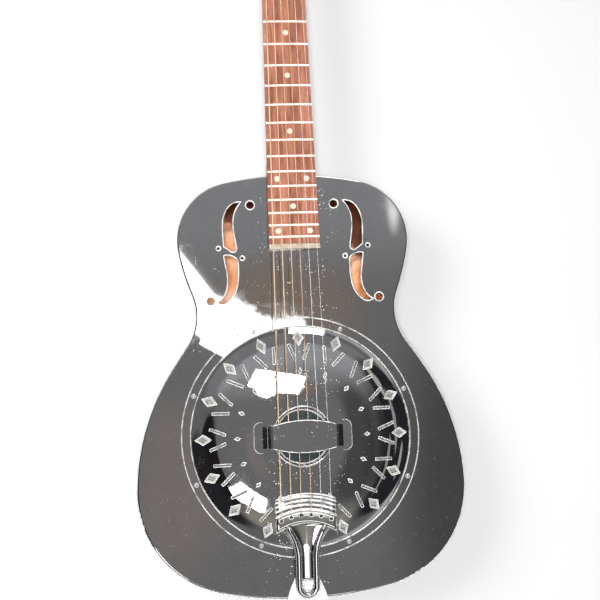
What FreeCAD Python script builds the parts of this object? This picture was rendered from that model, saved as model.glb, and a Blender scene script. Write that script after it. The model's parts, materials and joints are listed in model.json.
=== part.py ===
import FreeCAD, Part
import math
import os
from FreeCAD import Placement, Rotation, Vector

# A metal-bodied resonator guitar with a single cone, lying on its back.
# Millimetres. +Z points out of the top, +Y towards the headstock, +X to the treble side.
# The origin is on the resting face of the back, under the centre of the cone.

# --- Driving dimensions ---------------------------------------------------------------

# body
BODY_DEPTH = 82.0
SHEET = 1.0
EDGE_RADIUS = 2.2
RIM_DEPTH = 3.0
BODY_TOP_Y = 287.0
# radius and sweep of the tangent arcs from the neck end round to the tail, where a last
# arc closes the outline; a negative radius is hollow
BODY_ARCS = (
    (370.0, 11.7), (66.0, 88.6), (245.0, 11.1), (-60.0, 57.5),
    (500.0, 4.5), (240.0, 30.2), (110.5, 78.4),
)

# sound holes on the treble side, seen from above: the two strokes of the f, each from its
# inner edge to its outer edge, and the round holes as (x, y, radius)
UPPER_STROKE_INNER = (
    (55.5, 258.0), (60.5, 252.0), (64.6, 242.0), (65.3, 227.0), (62.2, 206.0),
)
UPPER_STROKE_HEEL = ((65.4, 202.4), (69.8, 203.4))
UPPER_STROKE_OUTER = (
    (77.0, 208.8), (77.6, 224.0), (76.0, 242.0), (68.4, 254.6), (55.5, 258.0),
)
LOWER_STROKE_OUTER = (
    (77.2, 199.4), (75.4, 186.0), (73.9, 170.0), (77.6, 156.2), (86.6, 147.8),
)
LOWER_STROKE_INNER = (
    (86.6, 147.8), (79.4, 145.3), (69.6, 151.6), (62.8, 166.0), (61.2, 193.6),
)
LOWER_STROKE_BROW = (68.4, 199.0)
ROUND_HOLES = ((46.3, 254.0, 5.2), (92.6, 149.6, 5.2), (82.5, 207.0, 2.7), (56.8, 195.8, 2.7))

# cone, its shelf and its cover
WELL_RADIUS = 121.4
SHELF_WIDTH = 9.0
SHELF_Z = 70.0
CONE_RADIUS = 120.5
CONE_SHEET = 0.5
CONE_TOP_Z = 85.0
CONE_TOP_RADIUS = 25.0
BISCUIT_RADIUS = 28.5
BISCUIT_HEIGHT = 7.0
COVER_RADIUS = 130.0
COVER_SHEET = 0.9
COVER_HOLE_RADIUS = 30.2
COVER_LIP_RADIUS = 1.5
COVER_DOME_ARCS = ((360.0, 8.0), (60.0, 26.0), (-3.0, 34.0))
COVER_FLANGE_INNER = 119.8
COVER_SCREWS = 8
COVER_SCREW_CIRCLE = 124.2
COVER_SCREW_RADIUS = 1.4
COVER_SCREW_HEAD = (2.7, 1.5)
COVER_SCREW_SHANK = 9.0
GROUPS = 16
# length and width of the holes of a group, and the turn and splay of its two slots
LARGE_DIAMOND = (18.0, 11.5)
SMALL_DIAMOND = (7.4, 4.4)
SLOT = (18.5, 3.0)
SLOT_TURN = 5.0
SLOT_SPLAY = 17.0
# circles that the large diamonds, the slots and the small diamonds lie on, as parts of the
# cover's radius
GROUP_CIRCLES = (0.819, 0.704, 0.539)

# bridge
BISCUIT_SCREW_RADIUS = 1.5
BISCUIT_SCREW_HEAD = (3.0, 1.8)
SADDLE_THICKNESS = 3.0
SADDLE_LENGTH = 60.0
SADDLE_SLOT = 3.5

# strings and scale
SCALE = 650.0
STRING_RADII = (0.15, 0.205, 0.305, 0.405, 0.535, 0.675)
NUT_SPACING = 7.0
SADDLE_SPACING = 10.7
SADDLE_STRING_Z = 106.0
NUT_CLEARANCE = 1.6
BALL_RADIUS = 1.9
BALL_HALF_LENGTH = 1.6
STRING_LEVEL = 8.0
STRING_BEND = 4.0
RAIL_BEND = 1.6
POST_GAP = 0.35
GROOVE_CLEARANCE = 0.06

# neck, measured along the fret plane from the saddle line
NECK_TILT = 2.12
FRET_PLANE_Z = 101.0
BOARD_THICKNESS = 6.0
BOARD_END = 204.0
BOARD_RADIUS = 305.0
NUT_WIDTH = 43.2
TWELFTH_WIDTH = 52.2
NUT_THICKNESS = 5.0
FRETS = 19
FRET_WIDTH = 2.4
FRET_HEIGHT = 1.1
TANG_WIDTH = 0.6
TANG_DEPTH = 1.9
DOT_RADIUS = 3.15
DOT_DEPTH = 1.3
SINGLE_DOTS = (3, 5, 7, 9, 12, 17)
DOUBLE_DOTS = {15: 16.2, 19: 17.4}
# frets whose bass edge has small dots, and the dots' places from the middle of the space
SIDE_DOTS = ((3, (0,)), (5, (0,)), (7, (0,)), (9, (0,)), (12, (-3, 3)), (15, (0,)))
SIDE_DOT_RADIUS = 1.0
SIDE_DOT_DROP = 3.4
# place along the neck, half width and depth of the wood under its flat top
HEEL_SECTIONS = (
    (283.0, 26.2, 66.0), (292.0, 26.1, 60.5), (301.0, 26.0, 49.0), (312.0, 25.8, 36.5),
    (326.0, 25.6, 27.0), (344.0, 25.3, 21.5), (366.0, 25.0, 18.8), (390.0, 24.7, 17.8),
)
SHAFT_END = (655.0, 21.6, 15.0)
STICK_WIDTH = 40.0
STICK_LOW_Z = 22.0
STICK_HIGH_Z = 50.0
TONGUE_END = 300.0
TONGUE_LOW = 16.0
TRUSS_START = 330.0
TRUSS_RADIUS = 2.4
TRUSS_NUT_RADIUS = 3.6
TRUSS_DROP = 5.5

# headstock, measured from the back of the nut
HEAD_ANGLE = 13.0
HEAD_LENGTH = 160.0
HEAD_THICKNESS = 15.0
VENEER = 1.5
HEAD_DROP = 4.5
HEAD_START = 12.0
VENEER_START = 0.4
HEAD_THROAT_HALF = 23.6
HEAD_SHOULDER = ((27.8, 22.0), (31.2, 31.0))
HEAD_SIDE_END = (35.5, 138.0)
HEAD_CORNER = ((33.2, 147.0), (25.5, 151.5))
HEAD_CROWN = (13.5, 153.6)
# half width, start, end and depth of the pocket for the truss rod's nut
POCKET = (5.5, 1.5, 26.0, -11.5)
ROD_COVER_EDGE = ((11.5, 2.0), (10.6, 18.0), (6.0, 32.0), (0.0, 44.0))
ROD_COVER_THICKNESS = 1.8
ROD_COVER_SCREWS = ((-8.6, 5.0), (8.6, 5.0), (0.0, 36.5))
# head radius, head height, shank radius and shank of a small screw
ROD_COVER_SCREW = (1.9, 1.0, 0.95, 1.75)

# tuners
POST_PLACES = (38.0, 77.0, 116.0)
POST_OFFSET = 22.0
POST_RADIUS = 3.0
POST_HEIGHT = 19.0
RUNNING_CLEARANCE = 0.05
BUSHING_RADIUS = 4.5
WORM_TEETH = 14
MODULE = 0.7
GEAR_THICKNESS = 3.2
GEAR_LEVEL = -19.5
WORM_CENTRES = 7.3
WORM_ROOT_RADIUS = 1.6
WORM_OUTER_RADIUS = 3.05
WORM_LENGTH = 8.4
LUG_INNER = 5.0
LUG_THICKNESS = 1.2
SHAFT_RADIUS = 1.6
BUTTON_START = 15.0
BUTTON_LENGTH = 11.0
BUTTON_HALF_WIDTH = 8.2
BUTTON_HALF_HEIGHT = 4.2
BUTTON_COLLAR = (3.0, 3.0)
SPIGOT_RADIUS = 1.9
WAIST_LEVELS = (4.0, 5.5, 13.0, 15.0)
WAIST_CUT = 0.35
CROSS_HOLE = (0.9, 11.0)
# half widths as parts of a pitch: the gear's teeth at root and tip, and the worm's thread
TOOTH_PARTS = (0.265, 0.065)
THREAD_PARTS = (0.25, 0.06)
THREAD_PHASE = 270.0
LUG_RADIUS = 3.4
STRIP_INNER = 7.0
STRIP_OUTER = 7.5
STRIP_MARGIN = 16.0
STRIP_CORNER = 3.0
STRIP_THICKNESS = 1.0
GEAR_SCREW_RADIUS = 1.1
GEAR_SCREW_HEAD = (2.9, 1.2)
PLATE_SCREW_RADIUS = 1.0
PLATE_SCREW_HEAD = (2.2, 1.1)
FERRULE_FLANGE = 1.4
FERRULE_HEIGHT = 1.6
FERRULE_DEPTH = 7.0

# hand rest
REST_HALF_LENGTH = 34.0
REST_TOP_Z = 116.0
REST_SHEET = 1.3
EAR_INNER = 43.0
EAR_OUTER = 53.4
EAR_LENGTH = 34.0
EAR_CORNER = 8.0
REST_END_HALF = 11.5
REST_MIDDLE_HALF = 16.6
REST_LIP = 2.2

# tailpiece
TAIL_CENTRE_Y = -150.0
TAIL_HALF_WIDTH = 33.0
TAIL_RIBS = ((90.0, 97.4), (87.4, 98.0), (84.0, 98.7), (79.0, 99.3))
RAIL_RADIUS = 70.8
RAIL_BEAD = 2.3
HINGE_Y = -161.0
HINGE_Z = 88.0
STEM_HALF_WIDTH = 9.3
STEM_TUBE = 3.7
STEM_BEND = 58.0
STEM_BEND_Y = -130.0
STEM_SHOULDER = 37.0
DECK_HALF = 30.0
DECK_LENGTH = 13.5
HINGE_PIN_RADIUS = 1.3
HINGE_EAR = 8.0
KNUCKLE_RADIUS = 2.6
HANGER_SHEET = 1.4
# half widths of the hanger at its head, its waist and the tail end, and of its drop
HANGER_HALVES = (12.0, 17.0, 23.5)
HANGER_DROP_HALVES = (13.0, 11.0)

# end pin: (radius, place along the pin from the hanger's face)
PIN_SHANK_RADIUS = 2.5
PIN_Z = 41.0
PIN_PROFILE = (
    (0.0, 26.0), (PIN_SHANK_RADIUS, 23.0), (PIN_SHANK_RADIUS, 0.0), (6.0, 0.0), (6.0, -1.6),
    (3.4, -4.5), (3.4, -8.0), (6.6, -10.5), (6.6, -12.0), (5.2, -13.4), (0.0, -14.0),
)

UP = Vector(0, 0, 1)
TOP_Z = BODY_DEPTH
NUT_PLACE = SCALE
HEAD_PLACE = SCALE + NUT_THICKNESS


# --- Frames -----------------------------------------------------------------------------

# neck frame: x across, y along the fret plane from the saddle line, z above the fret plane
NECK = Placement(Vector(0, 0, FRET_PLANE_Z), Rotation(Vector(1, 0, 0), -NECK_TILT))
# head frame: y from the back of the nut, z above the face of the veneer
HEAD = NECK.multiply(
    Placement(Vector(0, HEAD_PLACE, -HEAD_DROP), Rotation(Vector(1, 0, 0), -HEAD_ANGLE))
)


def placed(shape, frame):
    """A copy of a shape drawn in a local frame, moved into the guitar's frame."""
    copy = shape.copy()
    copy.Placement = frame.multiply(copy.Placement)
    return copy


# --- Small helpers ----------------------------------------------------------------------

def box(x0, x1, y0, y1, z0, z1):
    return Part.makeBox(x1 - x0, y1 - y0, z1 - z0, Vector(x0, y0, z0))


def rod(radius, start, end):
    """A cylinder from one point to another."""
    return Part.makeCylinder(radius, start.distanceToPoint(end), start, end - start)


def mirrored(shape):
    return shape.mirror(Vector(0, 0, 0), Vector(1, 0, 0))


def union(shapes):
    return shapes[0].multiFuse(shapes[1:]) if len(shapes) > 1 else shapes[0]


def one_solid(shape):
    """The shape with its seams cleaned, as a single solid where it is one."""
    clean = shape.removeSplitter()
    return clean.Solids[0] if len(clean.Solids) == 1 else clean


def polygon_face(points):
    return Part.Face(Part.makePolygon(list(points) + [points[0]]))


def tangent_chain(start, arcs, inset):
    """Tangent arcs that leave start along +x and turn clockwise where their radius is
    positive. The inset moves the whole chain to its right by that much."""
    point = start + Vector(0, -inset, 0)
    heading = 0.0
    edges = []
    for radius, sweep in arcs:
        radius = radius - inset
        turn = -math.radians(sweep) if radius > 0 else math.radians(sweep)
        centre = point + Vector(math.sin(heading), -math.cos(heading), 0) * radius

        def at(angle):
            return centre - Vector(math.sin(angle), -math.cos(angle), 0) * radius

        middle = at(heading + turn / 2)
        end = at(heading + turn)
        edges.append(Part.Arc(point, middle, end).toShape())
        point = end
        heading = heading + turn
    return edges, point, heading


def closed_outline(inset):
    """The body's outline, moved inwards by the inset."""
    edges, point, heading = tangent_chain(Vector(0, BODY_TOP_Y, 0), BODY_ARCS, inset)
    radius = -point.x / math.sin(heading)
    centre = Vector(0, point.y - radius * math.cos(heading), 0)
    half_turn = (heading - math.pi) / 2
    middle = centre - Vector(math.sin(half_turn), -math.cos(half_turn), 0) * radius
    edges.append(Part.Arc(point, middle, centre - Vector(0, radius, 0)).toShape())
    edges = edges + [mirrored(edge) for edge in edges]
    return Part.Wire(Part.__sortEdges__(edges))


def outline_prism(inset, z0, z1):
    face = Part.Face(closed_outline(inset))
    face.translate(Vector(0, 0, z0))
    return face.extrude(UP * (z1 - z0))


def rounded_path(points, radii):
    """Straight runs joined by tangent arcs of the given radii."""
    edges = []
    start = points[0]
    for before, corner, after, radius in zip(points, points[1:], points[2:], radii):
        to_before = (before - corner).normalize()
        to_after = (after - corner).normalize()
        half = to_before.getAngle(to_after) / 2
        reach = radius / math.tan(half)
        first = corner + to_before * reach
        last = corner + to_after * reach
        bisector = (to_before + to_after).normalize()
        middle = corner + bisector * (radius / math.sin(half) - radius)
        edges.append(Part.LineSegment(start, first).toShape())
        edges.append(Part.Arc(first, middle, last).toShape())
        start = last
    edges.append(Part.LineSegment(start, points[-1]).toShape())
    return edges


def tube_along(edges, radius):
    """A round bar along a path."""
    path = Part.Wire(edges)
    start = edges[0].valueAt(edges[0].FirstParameter)
    direction = edges[0].tangentAt(edges[0].FirstParameter)
    section = Part.Wire(Part.makeCircle(radius, start, direction))
    return path.makePipeShell([section], True, False)


def flat(point):
    """A point of a flat outline, at height zero."""
    return Vector(point[0], point[1], 0)


def spline(points):
    """A smooth curve through the points of a flat outline."""
    curve = Part.BSplineCurve()
    curve.interpolate([flat(point) for point in points])
    return curve.toShape()


# --- Body shell ---------------------------------------------------------------------------

def pan():
    """A plate with a short turned rim, flat side up, as the top and the back both are."""
    solid = outline_prism(0, TOP_Z - RIM_DEPTH, TOP_Z)
    rim = [
        edge for edge in solid.Edges
        if all(abs(vertex.Z - TOP_Z) < 1e-6 for vertex in edge.Vertexes)
    ]
    solid = solid.makeFillet(EDGE_RADIUS, rim)
    return solid.cut(outline_prism(SHEET, TOP_Z - RIM_DEPTH, TOP_Z - SHEET))


def sound_hole_upper():
    """The upper stroke of an f-hole on the treble side."""
    start = flat(UPPER_STROKE_INNER[-1])
    middle, end = flat(UPPER_STROKE_HEEL[0]), flat(UPPER_STROKE_HEEL[1])
    heel = Part.Arc(start, middle, end).toShape()
    foot = Part.LineSegment(end, flat(UPPER_STROKE_OUTER[0])).toShape()
    return Part.Face(Part.Wire([spline(UPPER_STROKE_INNER), heel, foot, spline(UPPER_STROKE_OUTER)]))


def sound_hole_lower():
    """The lower stroke of an f-hole on the treble side."""
    start, end = flat(LOWER_STROKE_INNER[-1]), flat(LOWER_STROKE_OUTER[0])
    brow = Part.Arc(start, flat(LOWER_STROKE_BROW), end).toShape()
    return Part.Face(Part.Wire([spline(LOWER_STROKE_OUTER), spline(LOWER_STROKE_INNER), brow]))


def sound_hole_tools():
    """Every opening of both f-holes, as cutters through the top."""
    through = UP * (BODY_DEPTH / 2)
    low = Vector(0, 0, TOP_Z - BODY_DEPTH / 4)
    tools = []
    for face in (sound_hole_upper(), sound_hole_lower()):
        face.translate(low)
        tools.append(face.extrude(through))
    for x, y, radius in ROUND_HOLES:
        tools.append(Part.makeCylinder(radius, through.z, Vector(x, y, low.z)))
    return tools + [mirrored(tool) for tool in tools]


def cover_screw_points():
    half_step = math.pi / COVER_SCREWS
    for index in range(COVER_SCREWS):
        angle = half_step * (2 * index + 1)
        yield Vector(COVER_SCREW_CIRCLE * math.cos(angle), COVER_SCREW_CIRCLE * math.sin(angle), 0)


def cover_screw_holes(radius):
    return [
        Part.makeCylinder(radius, BODY_DEPTH / 2, point + Vector(0, 0, SHELF_Z))
        for point in cover_screw_points()
    ]


def top_plate():
    plate = pan()
    opening = Part.makeCylinder(WELL_RADIUS, BODY_DEPTH, Vector(0, 0, SHELF_Z))
    return plate.cut([opening] + sound_hole_tools() + cover_screw_holes(COVER_SCREW_RADIUS))


def back_plate():
    plate = pan()
    return plate.mirror(Vector(0, 0, BODY_DEPTH / 2), UP)


def body_sides():
    """The bent side, made of two halves that meet at the neck and at the tail."""
    wall = outline_prism(0, RIM_DEPTH, TOP_Z - RIM_DEPTH)
    wall = wall.cut(outline_prism(SHEET, 0, BODY_DEPTH))
    half = STICK_WIDTH / 2
    wall = wall.cut([
        box(-half, half, BODY_TOP_Y / 2, BODY_TOP_Y * 2, STICK_LOW_Z, STICK_HIGH_Z),
        end_pin_bore(PIN_SHANK_RADIUS),
    ])
    reach = BODY_TOP_Y * 2
    treble = wall.common(box(0, reach, -reach, reach, 0, BODY_DEPTH))
    bass = wall.common(box(-reach, 0, -reach, reach, 0, BODY_DEPTH))
    return bass, treble


# --- Cone, shelf and cover -----------------------------------------------------------------

def turned(points):
    """A solid of revolution about z from (radius, z) corners."""
    face = polygon_face([Vector(r, 0, z) for r, z in points])
    return face.revolve(Vector(0, 0, 0), UP, 360)


def sound_well():
    """The pressed shelf under the top that carries the rim of the cone."""
    outer = WELL_RADIUS + SHEET
    under = TOP_Z - SHEET
    flange = WELL_RADIUS + SHELF_WIDTH
    inner = WELL_RADIUS - SHELF_WIDTH
    shelf = turned([
        (inner, SHELF_Z), (inner, SHELF_Z - SHEET), (outer, SHELF_Z - SHEET), (outer, under - SHEET),
        (flange, under - SHEET), (flange, under), (WELL_RADIUS, under), (WELL_RADIUS, SHELF_Z),
    ])
    return shelf.cut(cover_screw_holes(COVER_SCREW_RADIUS))


def resonator_cone():
    """The spun cone: a flat rim, a swelling flank and a flat crown for the biscuit."""
    rim = CONE_RADIUS - SHELF_WIDTH / 2
    low = SHELF_Z
    crown = CONE_TOP_Z - CONE_SHEET
    swell = (0.55 * rim + 0.45 * CONE_TOP_RADIUS, low + 0.68 * (crown - low))
    lift = Vector(0, 0, CONE_SHEET)
    axis_hole = BISCUIT_SCREW_RADIUS
    under = [
        Vector(CONE_RADIUS, 0, low), Vector(rim, 0, low),
        Vector(CONE_TOP_RADIUS, 0, crown), Vector(axis_hole, 0, crown),
    ]
    bend = Vector(swell[0], 0, swell[1])
    lower = [
        Part.LineSegment(under[0], under[1]).toShape(),
        Part.Arc(under[1], bend, under[2]).toShape(),
        Part.LineSegment(under[2], under[3]).toShape(),
    ]
    upper = [edge.translated(lift) for edge in lower]
    ends = [
        Part.LineSegment(point, point + lift).toShape() for point in (under[0], under[3])
    ]
    profile = Part.Face(Part.Wire(Part.__sortEdges__(lower + upper + ends)))
    return profile.revolve(Vector(0, 0, 0), UP, 360)


def cover_profile(inset):
    """The dome of the cover in the x-z plane, from its crown out to its rim."""
    (crown_radius, crown_sweep), (flank_radius, flank_sweep), (foot_radius, _) = COVER_DOME_ARCS
    crown_angle = math.radians(crown_sweep)
    flank_angle = math.radians(crown_sweep + flank_sweep)
    foot_radius = -foot_radius
    crown_run = crown_radius * math.sin(crown_angle)
    flank_run = flank_radius * (math.sin(flank_angle) - math.sin(crown_angle))
    foot_run = foot_radius * math.sin(flank_angle)
    start = COVER_FLANGE_INNER - crown_run - flank_run - foot_run
    drop = (
        crown_radius * (1 - math.cos(crown_angle))
        + flank_radius * (math.cos(crown_angle) - math.cos(flank_angle))
        + foot_radius * (1 - math.cos(flank_angle))
    )
    height = TOP_Z + COVER_SHEET + drop
    arcs, end, heading = tangent_chain(Vector(start, height, 0), COVER_DOME_ARCS, inset)
    first = Vector(start, height - inset, 0)
    crown = Part.LineSegment(Vector(COVER_HOLE_RADIUS, first.y, 0), first).toShape()
    flange = Part.LineSegment(end, Vector(COVER_RADIUS, end.y, 0)).toShape()
    edges = [crown] + arcs + [flange]
    for edge in edges:
        edge.rotate(Vector(0, 0, 0), Vector(1, 0, 0), 90)
    return edges


def cover_height():
    """The top of the cover's flat crown."""
    return cover_profile(0)[0].BoundBox.ZMax


def dome_space():
    """Everything under the cover's outer surface, for fitting what sits on it."""
    edges = cover_profile(0)
    crown_z = edges[0].BoundBox.ZMax
    corners = [
        Vector(COVER_RADIUS, 0, TOP_Z + COVER_SHEET), Vector(COVER_RADIUS, 0, SHELF_Z),
        Vector(0, 0, SHELF_Z), Vector(0, 0, crown_z), Vector(COVER_HOLE_RADIUS, 0, crown_z),
    ]
    sides = [Part.LineSegment(a, b).toShape() for a, b in zip(corners, corners[1:])]
    face = Part.Face(Part.Wire(Part.__sortEdges__(edges + sides)))
    return face.revolve(Vector(0, 0, 0), UP, 360)


def diamond(radius, length, width):
    corners = [
        Vector(0, radius + length / 2, 0), Vector(width / 2, radius, 0),
        Vector(0, radius - length / 2, 0), Vector(-width / 2, radius, 0),
    ]
    return polygon_face(corners)


def slot(radius, angle, length, width, splay):
    face = polygon_face([
        Vector(width / 2, length / 2, 0), Vector(-width / 2, length / 2, 0),
        Vector(-width / 2, -length / 2, 0), Vector(width / 2, -length / 2, 0),
    ])
    face.rotate(Vector(0, 0, 0), UP, splay)
    face.translate(Vector(0, radius, 0))
    face.rotate(Vector(0, 0, 0), UP, angle)
    return face


def perforations():
    """One group is a large diamond, a splayed pair of slots and a small diamond."""
    large, middle, small = [part * COVER_RADIUS for part in GROUP_CIRCLES]
    group = [
        diamond(large, *LARGE_DIAMOND), diamond(small, *SMALL_DIAMOND),
        slot(middle, SLOT_TURN, *SLOT, SLOT_SPLAY), slot(middle, -SLOT_TURN, *SLOT, -SLOT_SPLAY),
    ]
    tools = []
    for index in range(GROUPS):
        for face in group:
            cutter = face.rotated(Vector(0, 0, 0), UP, index * 360 / GROUPS)
            cutter.translate(Vector(0, 0, TOP_Z))
            tools.append(cutter.extrude(UP * BODY_DEPTH / 2))
    return tools


def cover_plate():
    outer = cover_profile(0)
    inner = cover_profile(COVER_SHEET)
    ends = [
        Part.LineSegment(outer[0].valueAt(outer[0].FirstParameter),
                         inner[0].valueAt(inner[0].FirstParameter)).toShape(),
        Part.LineSegment(outer[-1].valueAt(outer[-1].LastParameter),
                         inner[-1].valueAt(inner[-1].LastParameter)).toShape(),
    ]
    profile = Part.Face(Part.Wire(Part.__sortEdges__(outer + inner + ends)))
    dome = profile.revolve(Vector(0, 0, 0), UP, 360)
    dome = dome.cut(perforations() + cover_screw_holes(COVER_SCREW_RADIUS))
    bead = Part.makeTorus(COVER_HOLE_RADIUS + COVER_LIP_RADIUS, COVER_LIP_RADIUS,
                          Vector(0, 0, cover_height() - COVER_SHEET / 2))
    return one_solid(dome.fuse(bead))


def cover_plate_screws():
    """Round-headed screws through the cover's flange into the shelf."""
    screws = []
    for point in cover_screw_points():
        screw = small_screw(*COVER_SCREW_HEAD, COVER_SCREW_RADIUS - RUNNING_CLEARANCE, COVER_SCREW_SHANK)
        screw.translate(point + Vector(0, 0, TOP_Z + COVER_SHEET))
        screws.append(screw)
    return Part.makeCompound(screws)


# --- Bridge -------------------------------------------------------------------------------

def crowned(x, height):
    """Height over a line that follows the fingerboard's curvature."""
    return height - x * x / (2 * BOARD_RADIUS)


def string_x(index, spacing):
    """Sideways place of a string; string 1 is the treble one, on the +x side."""
    return spacing * (3.5 - index)


def bridge_biscuit():
    disc = Part.makeCylinder(BISCUIT_RADIUS, BISCUIT_HEIGHT, Vector(0, 0, CONE_TOP_Z))
    seat = saddle_blank()
    screw = Part.makeCylinder(BISCUIT_SCREW_RADIUS, BISCUIT_HEIGHT, Vector(0, 0, CONE_TOP_Z))
    return one_solid(disc.cut([seat, screw]))


def saddle_blank():
    """The saddle before its notches: a bar with a curved top, set in the biscuit's slot."""
    low = CONE_TOP_Z + BISCUIT_HEIGHT - SADDLE_SLOT
    half = SADDLE_LENGTH / 2
    thin = SADDLE_THICKNESS / 2
    bar = box(-half, half, -thin, thin, low, SADDLE_STRING_Z + 1)
    curve_centre = Vector(0, -thin, SADDLE_STRING_Z + 0.5 - BOARD_RADIUS)
    crown = Part.makeCylinder(BOARD_RADIUS, 2 * thin, curve_centre, Vector(0, 1, 0))
    return bar.common(crown)


def bridge_saddle():
    return one_solid(saddle_blank().cut(string_grooves()))


def biscuit_screw():
    """From below, through the crown of the cone into the biscuit."""
    head_radius, head_height = BISCUIT_SCREW_HEAD
    head = Part.makeCylinder(head_radius, head_height,
                             Vector(0, 0, CONE_TOP_Z - CONE_SHEET - head_height))
    shank = Part.makeCylinder(BISCUIT_SCREW_RADIUS, CONE_SHEET + BISCUIT_HEIGHT - SADDLE_SLOT,
                              Vector(0, 0, CONE_TOP_Z - CONE_SHEET))
    return one_solid(head.fuse(shank))


# --- Hand rest ----------------------------------------------------------------------------

def hand_rest():
    """A bowed strap over the bridge, with a leg and a soldered ear at each end."""
    end_half = REST_END_HALF
    leg_foot = EAR_INNER - 1.0
    ear_z = cover_height() + REST_SHEET * 0.4
    bow = Part.Arc(Vector(-REST_HALF_LENGTH, end_half, 0), Vector(0, REST_MIDDLE_HALF, 0),
                   Vector(REST_HALF_LENGTH, end_half, 0)).toShape()
    other = bow.mirror(Vector(0, 0, 0), Vector(0, 1, 0))
    ends = [
        Part.LineSegment(Vector(x, end_half, 0), Vector(x, -end_half, 0)).toShape()
        for x in (-REST_HALF_LENGTH, REST_HALF_LENGTH)
    ]
    face = Part.Face(Part.Wire(Part.__sortEdges__([bow, other] + ends)))
    face.translate(Vector(0, 0, REST_TOP_Z - REST_SHEET))
    plate = face.extrude(UP * REST_SHEET)
    skirt = face.extrude(UP * -REST_LIP)
    hollow = box(-REST_HALF_LENGTH, REST_HALF_LENGTH, -end_half, end_half, 0, REST_TOP_Z)
    inner_face = face.makeOffset2D(-REST_SHEET)
    skirt = skirt.cut([inner_face.extrude(UP * -REST_LIP), hollow])
    leg_profile = polygon_face([
        Vector(REST_HALF_LENGTH - 2, 0, REST_TOP_Z), Vector(REST_HALF_LENGTH, 0, REST_TOP_Z),
        Vector(REST_HALF_LENGTH + 2.2, 0, REST_TOP_Z - 1.6),
        Vector(leg_foot + 1.5, 0, ear_z + REST_SHEET), Vector(leg_foot + 4.0, 0, ear_z + REST_SHEET),
        Vector(leg_foot + 4.0, 0, ear_z - 1.0), Vector(leg_foot, 0, ear_z - 1.0),
        Vector(REST_HALF_LENGTH + 0.9, 0, REST_TOP_Z - 2.6),
        Vector(REST_HALF_LENGTH - 0.2, 0, REST_TOP_Z - REST_SHEET),
        Vector(REST_HALF_LENGTH - 2, 0, REST_TOP_Z - REST_SHEET),
    ])
    leg_profile.translate(Vector(0, -end_half, 0))
    leg = leg_profile.extrude(Vector(0, 2 * end_half, 0))
    ear = box(EAR_INNER, EAR_OUTER, -EAR_LENGTH / 2, EAR_LENGTH / 2, ear_z - 3.0, ear_z + REST_SHEET)
    corners = [
        edge for edge in ear.Edges
        if abs(edge.Vertexes[0].X - EAR_OUTER) < 1e-6 and abs(edge.Vertexes[1].X - EAR_OUTER) < 1e-6
        and abs(edge.Vertexes[0].Z - edge.Vertexes[1].Z) > 1.0
    ]
    ear = ear.makeFillet(EAR_CORNER, corners)
    sides = union([leg, ear]).cut(dome_space())
    return one_solid(union([plate, skirt, sides, mirrored(sides)]))


# --- Tailpiece ------------------------------------------------------------------------------

def string_hole_y(x):
    """The string holes follow the back of the tailpiece's rail."""
    radius = RAIL_RADIUS - RAIL_BEAD - 0.4
    return TAIL_CENTRE_Y + math.sqrt(radius ** 2 - x ** 2)


def sector(outer, inner, half_width, z0, z1):
    """A ring sector about the tailpiece's centre, cut straight at its sides."""
    centre = Vector(0, TAIL_CENTRE_Y, z0)
    band = Part.makeCylinder(outer, z1 - z0, centre).cut(Part.makeCylinder(inner, z1 - z0, centre))
    return band.common(box(-half_width, half_width, TAIL_CENTRE_Y, 0, z0, z1))


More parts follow.
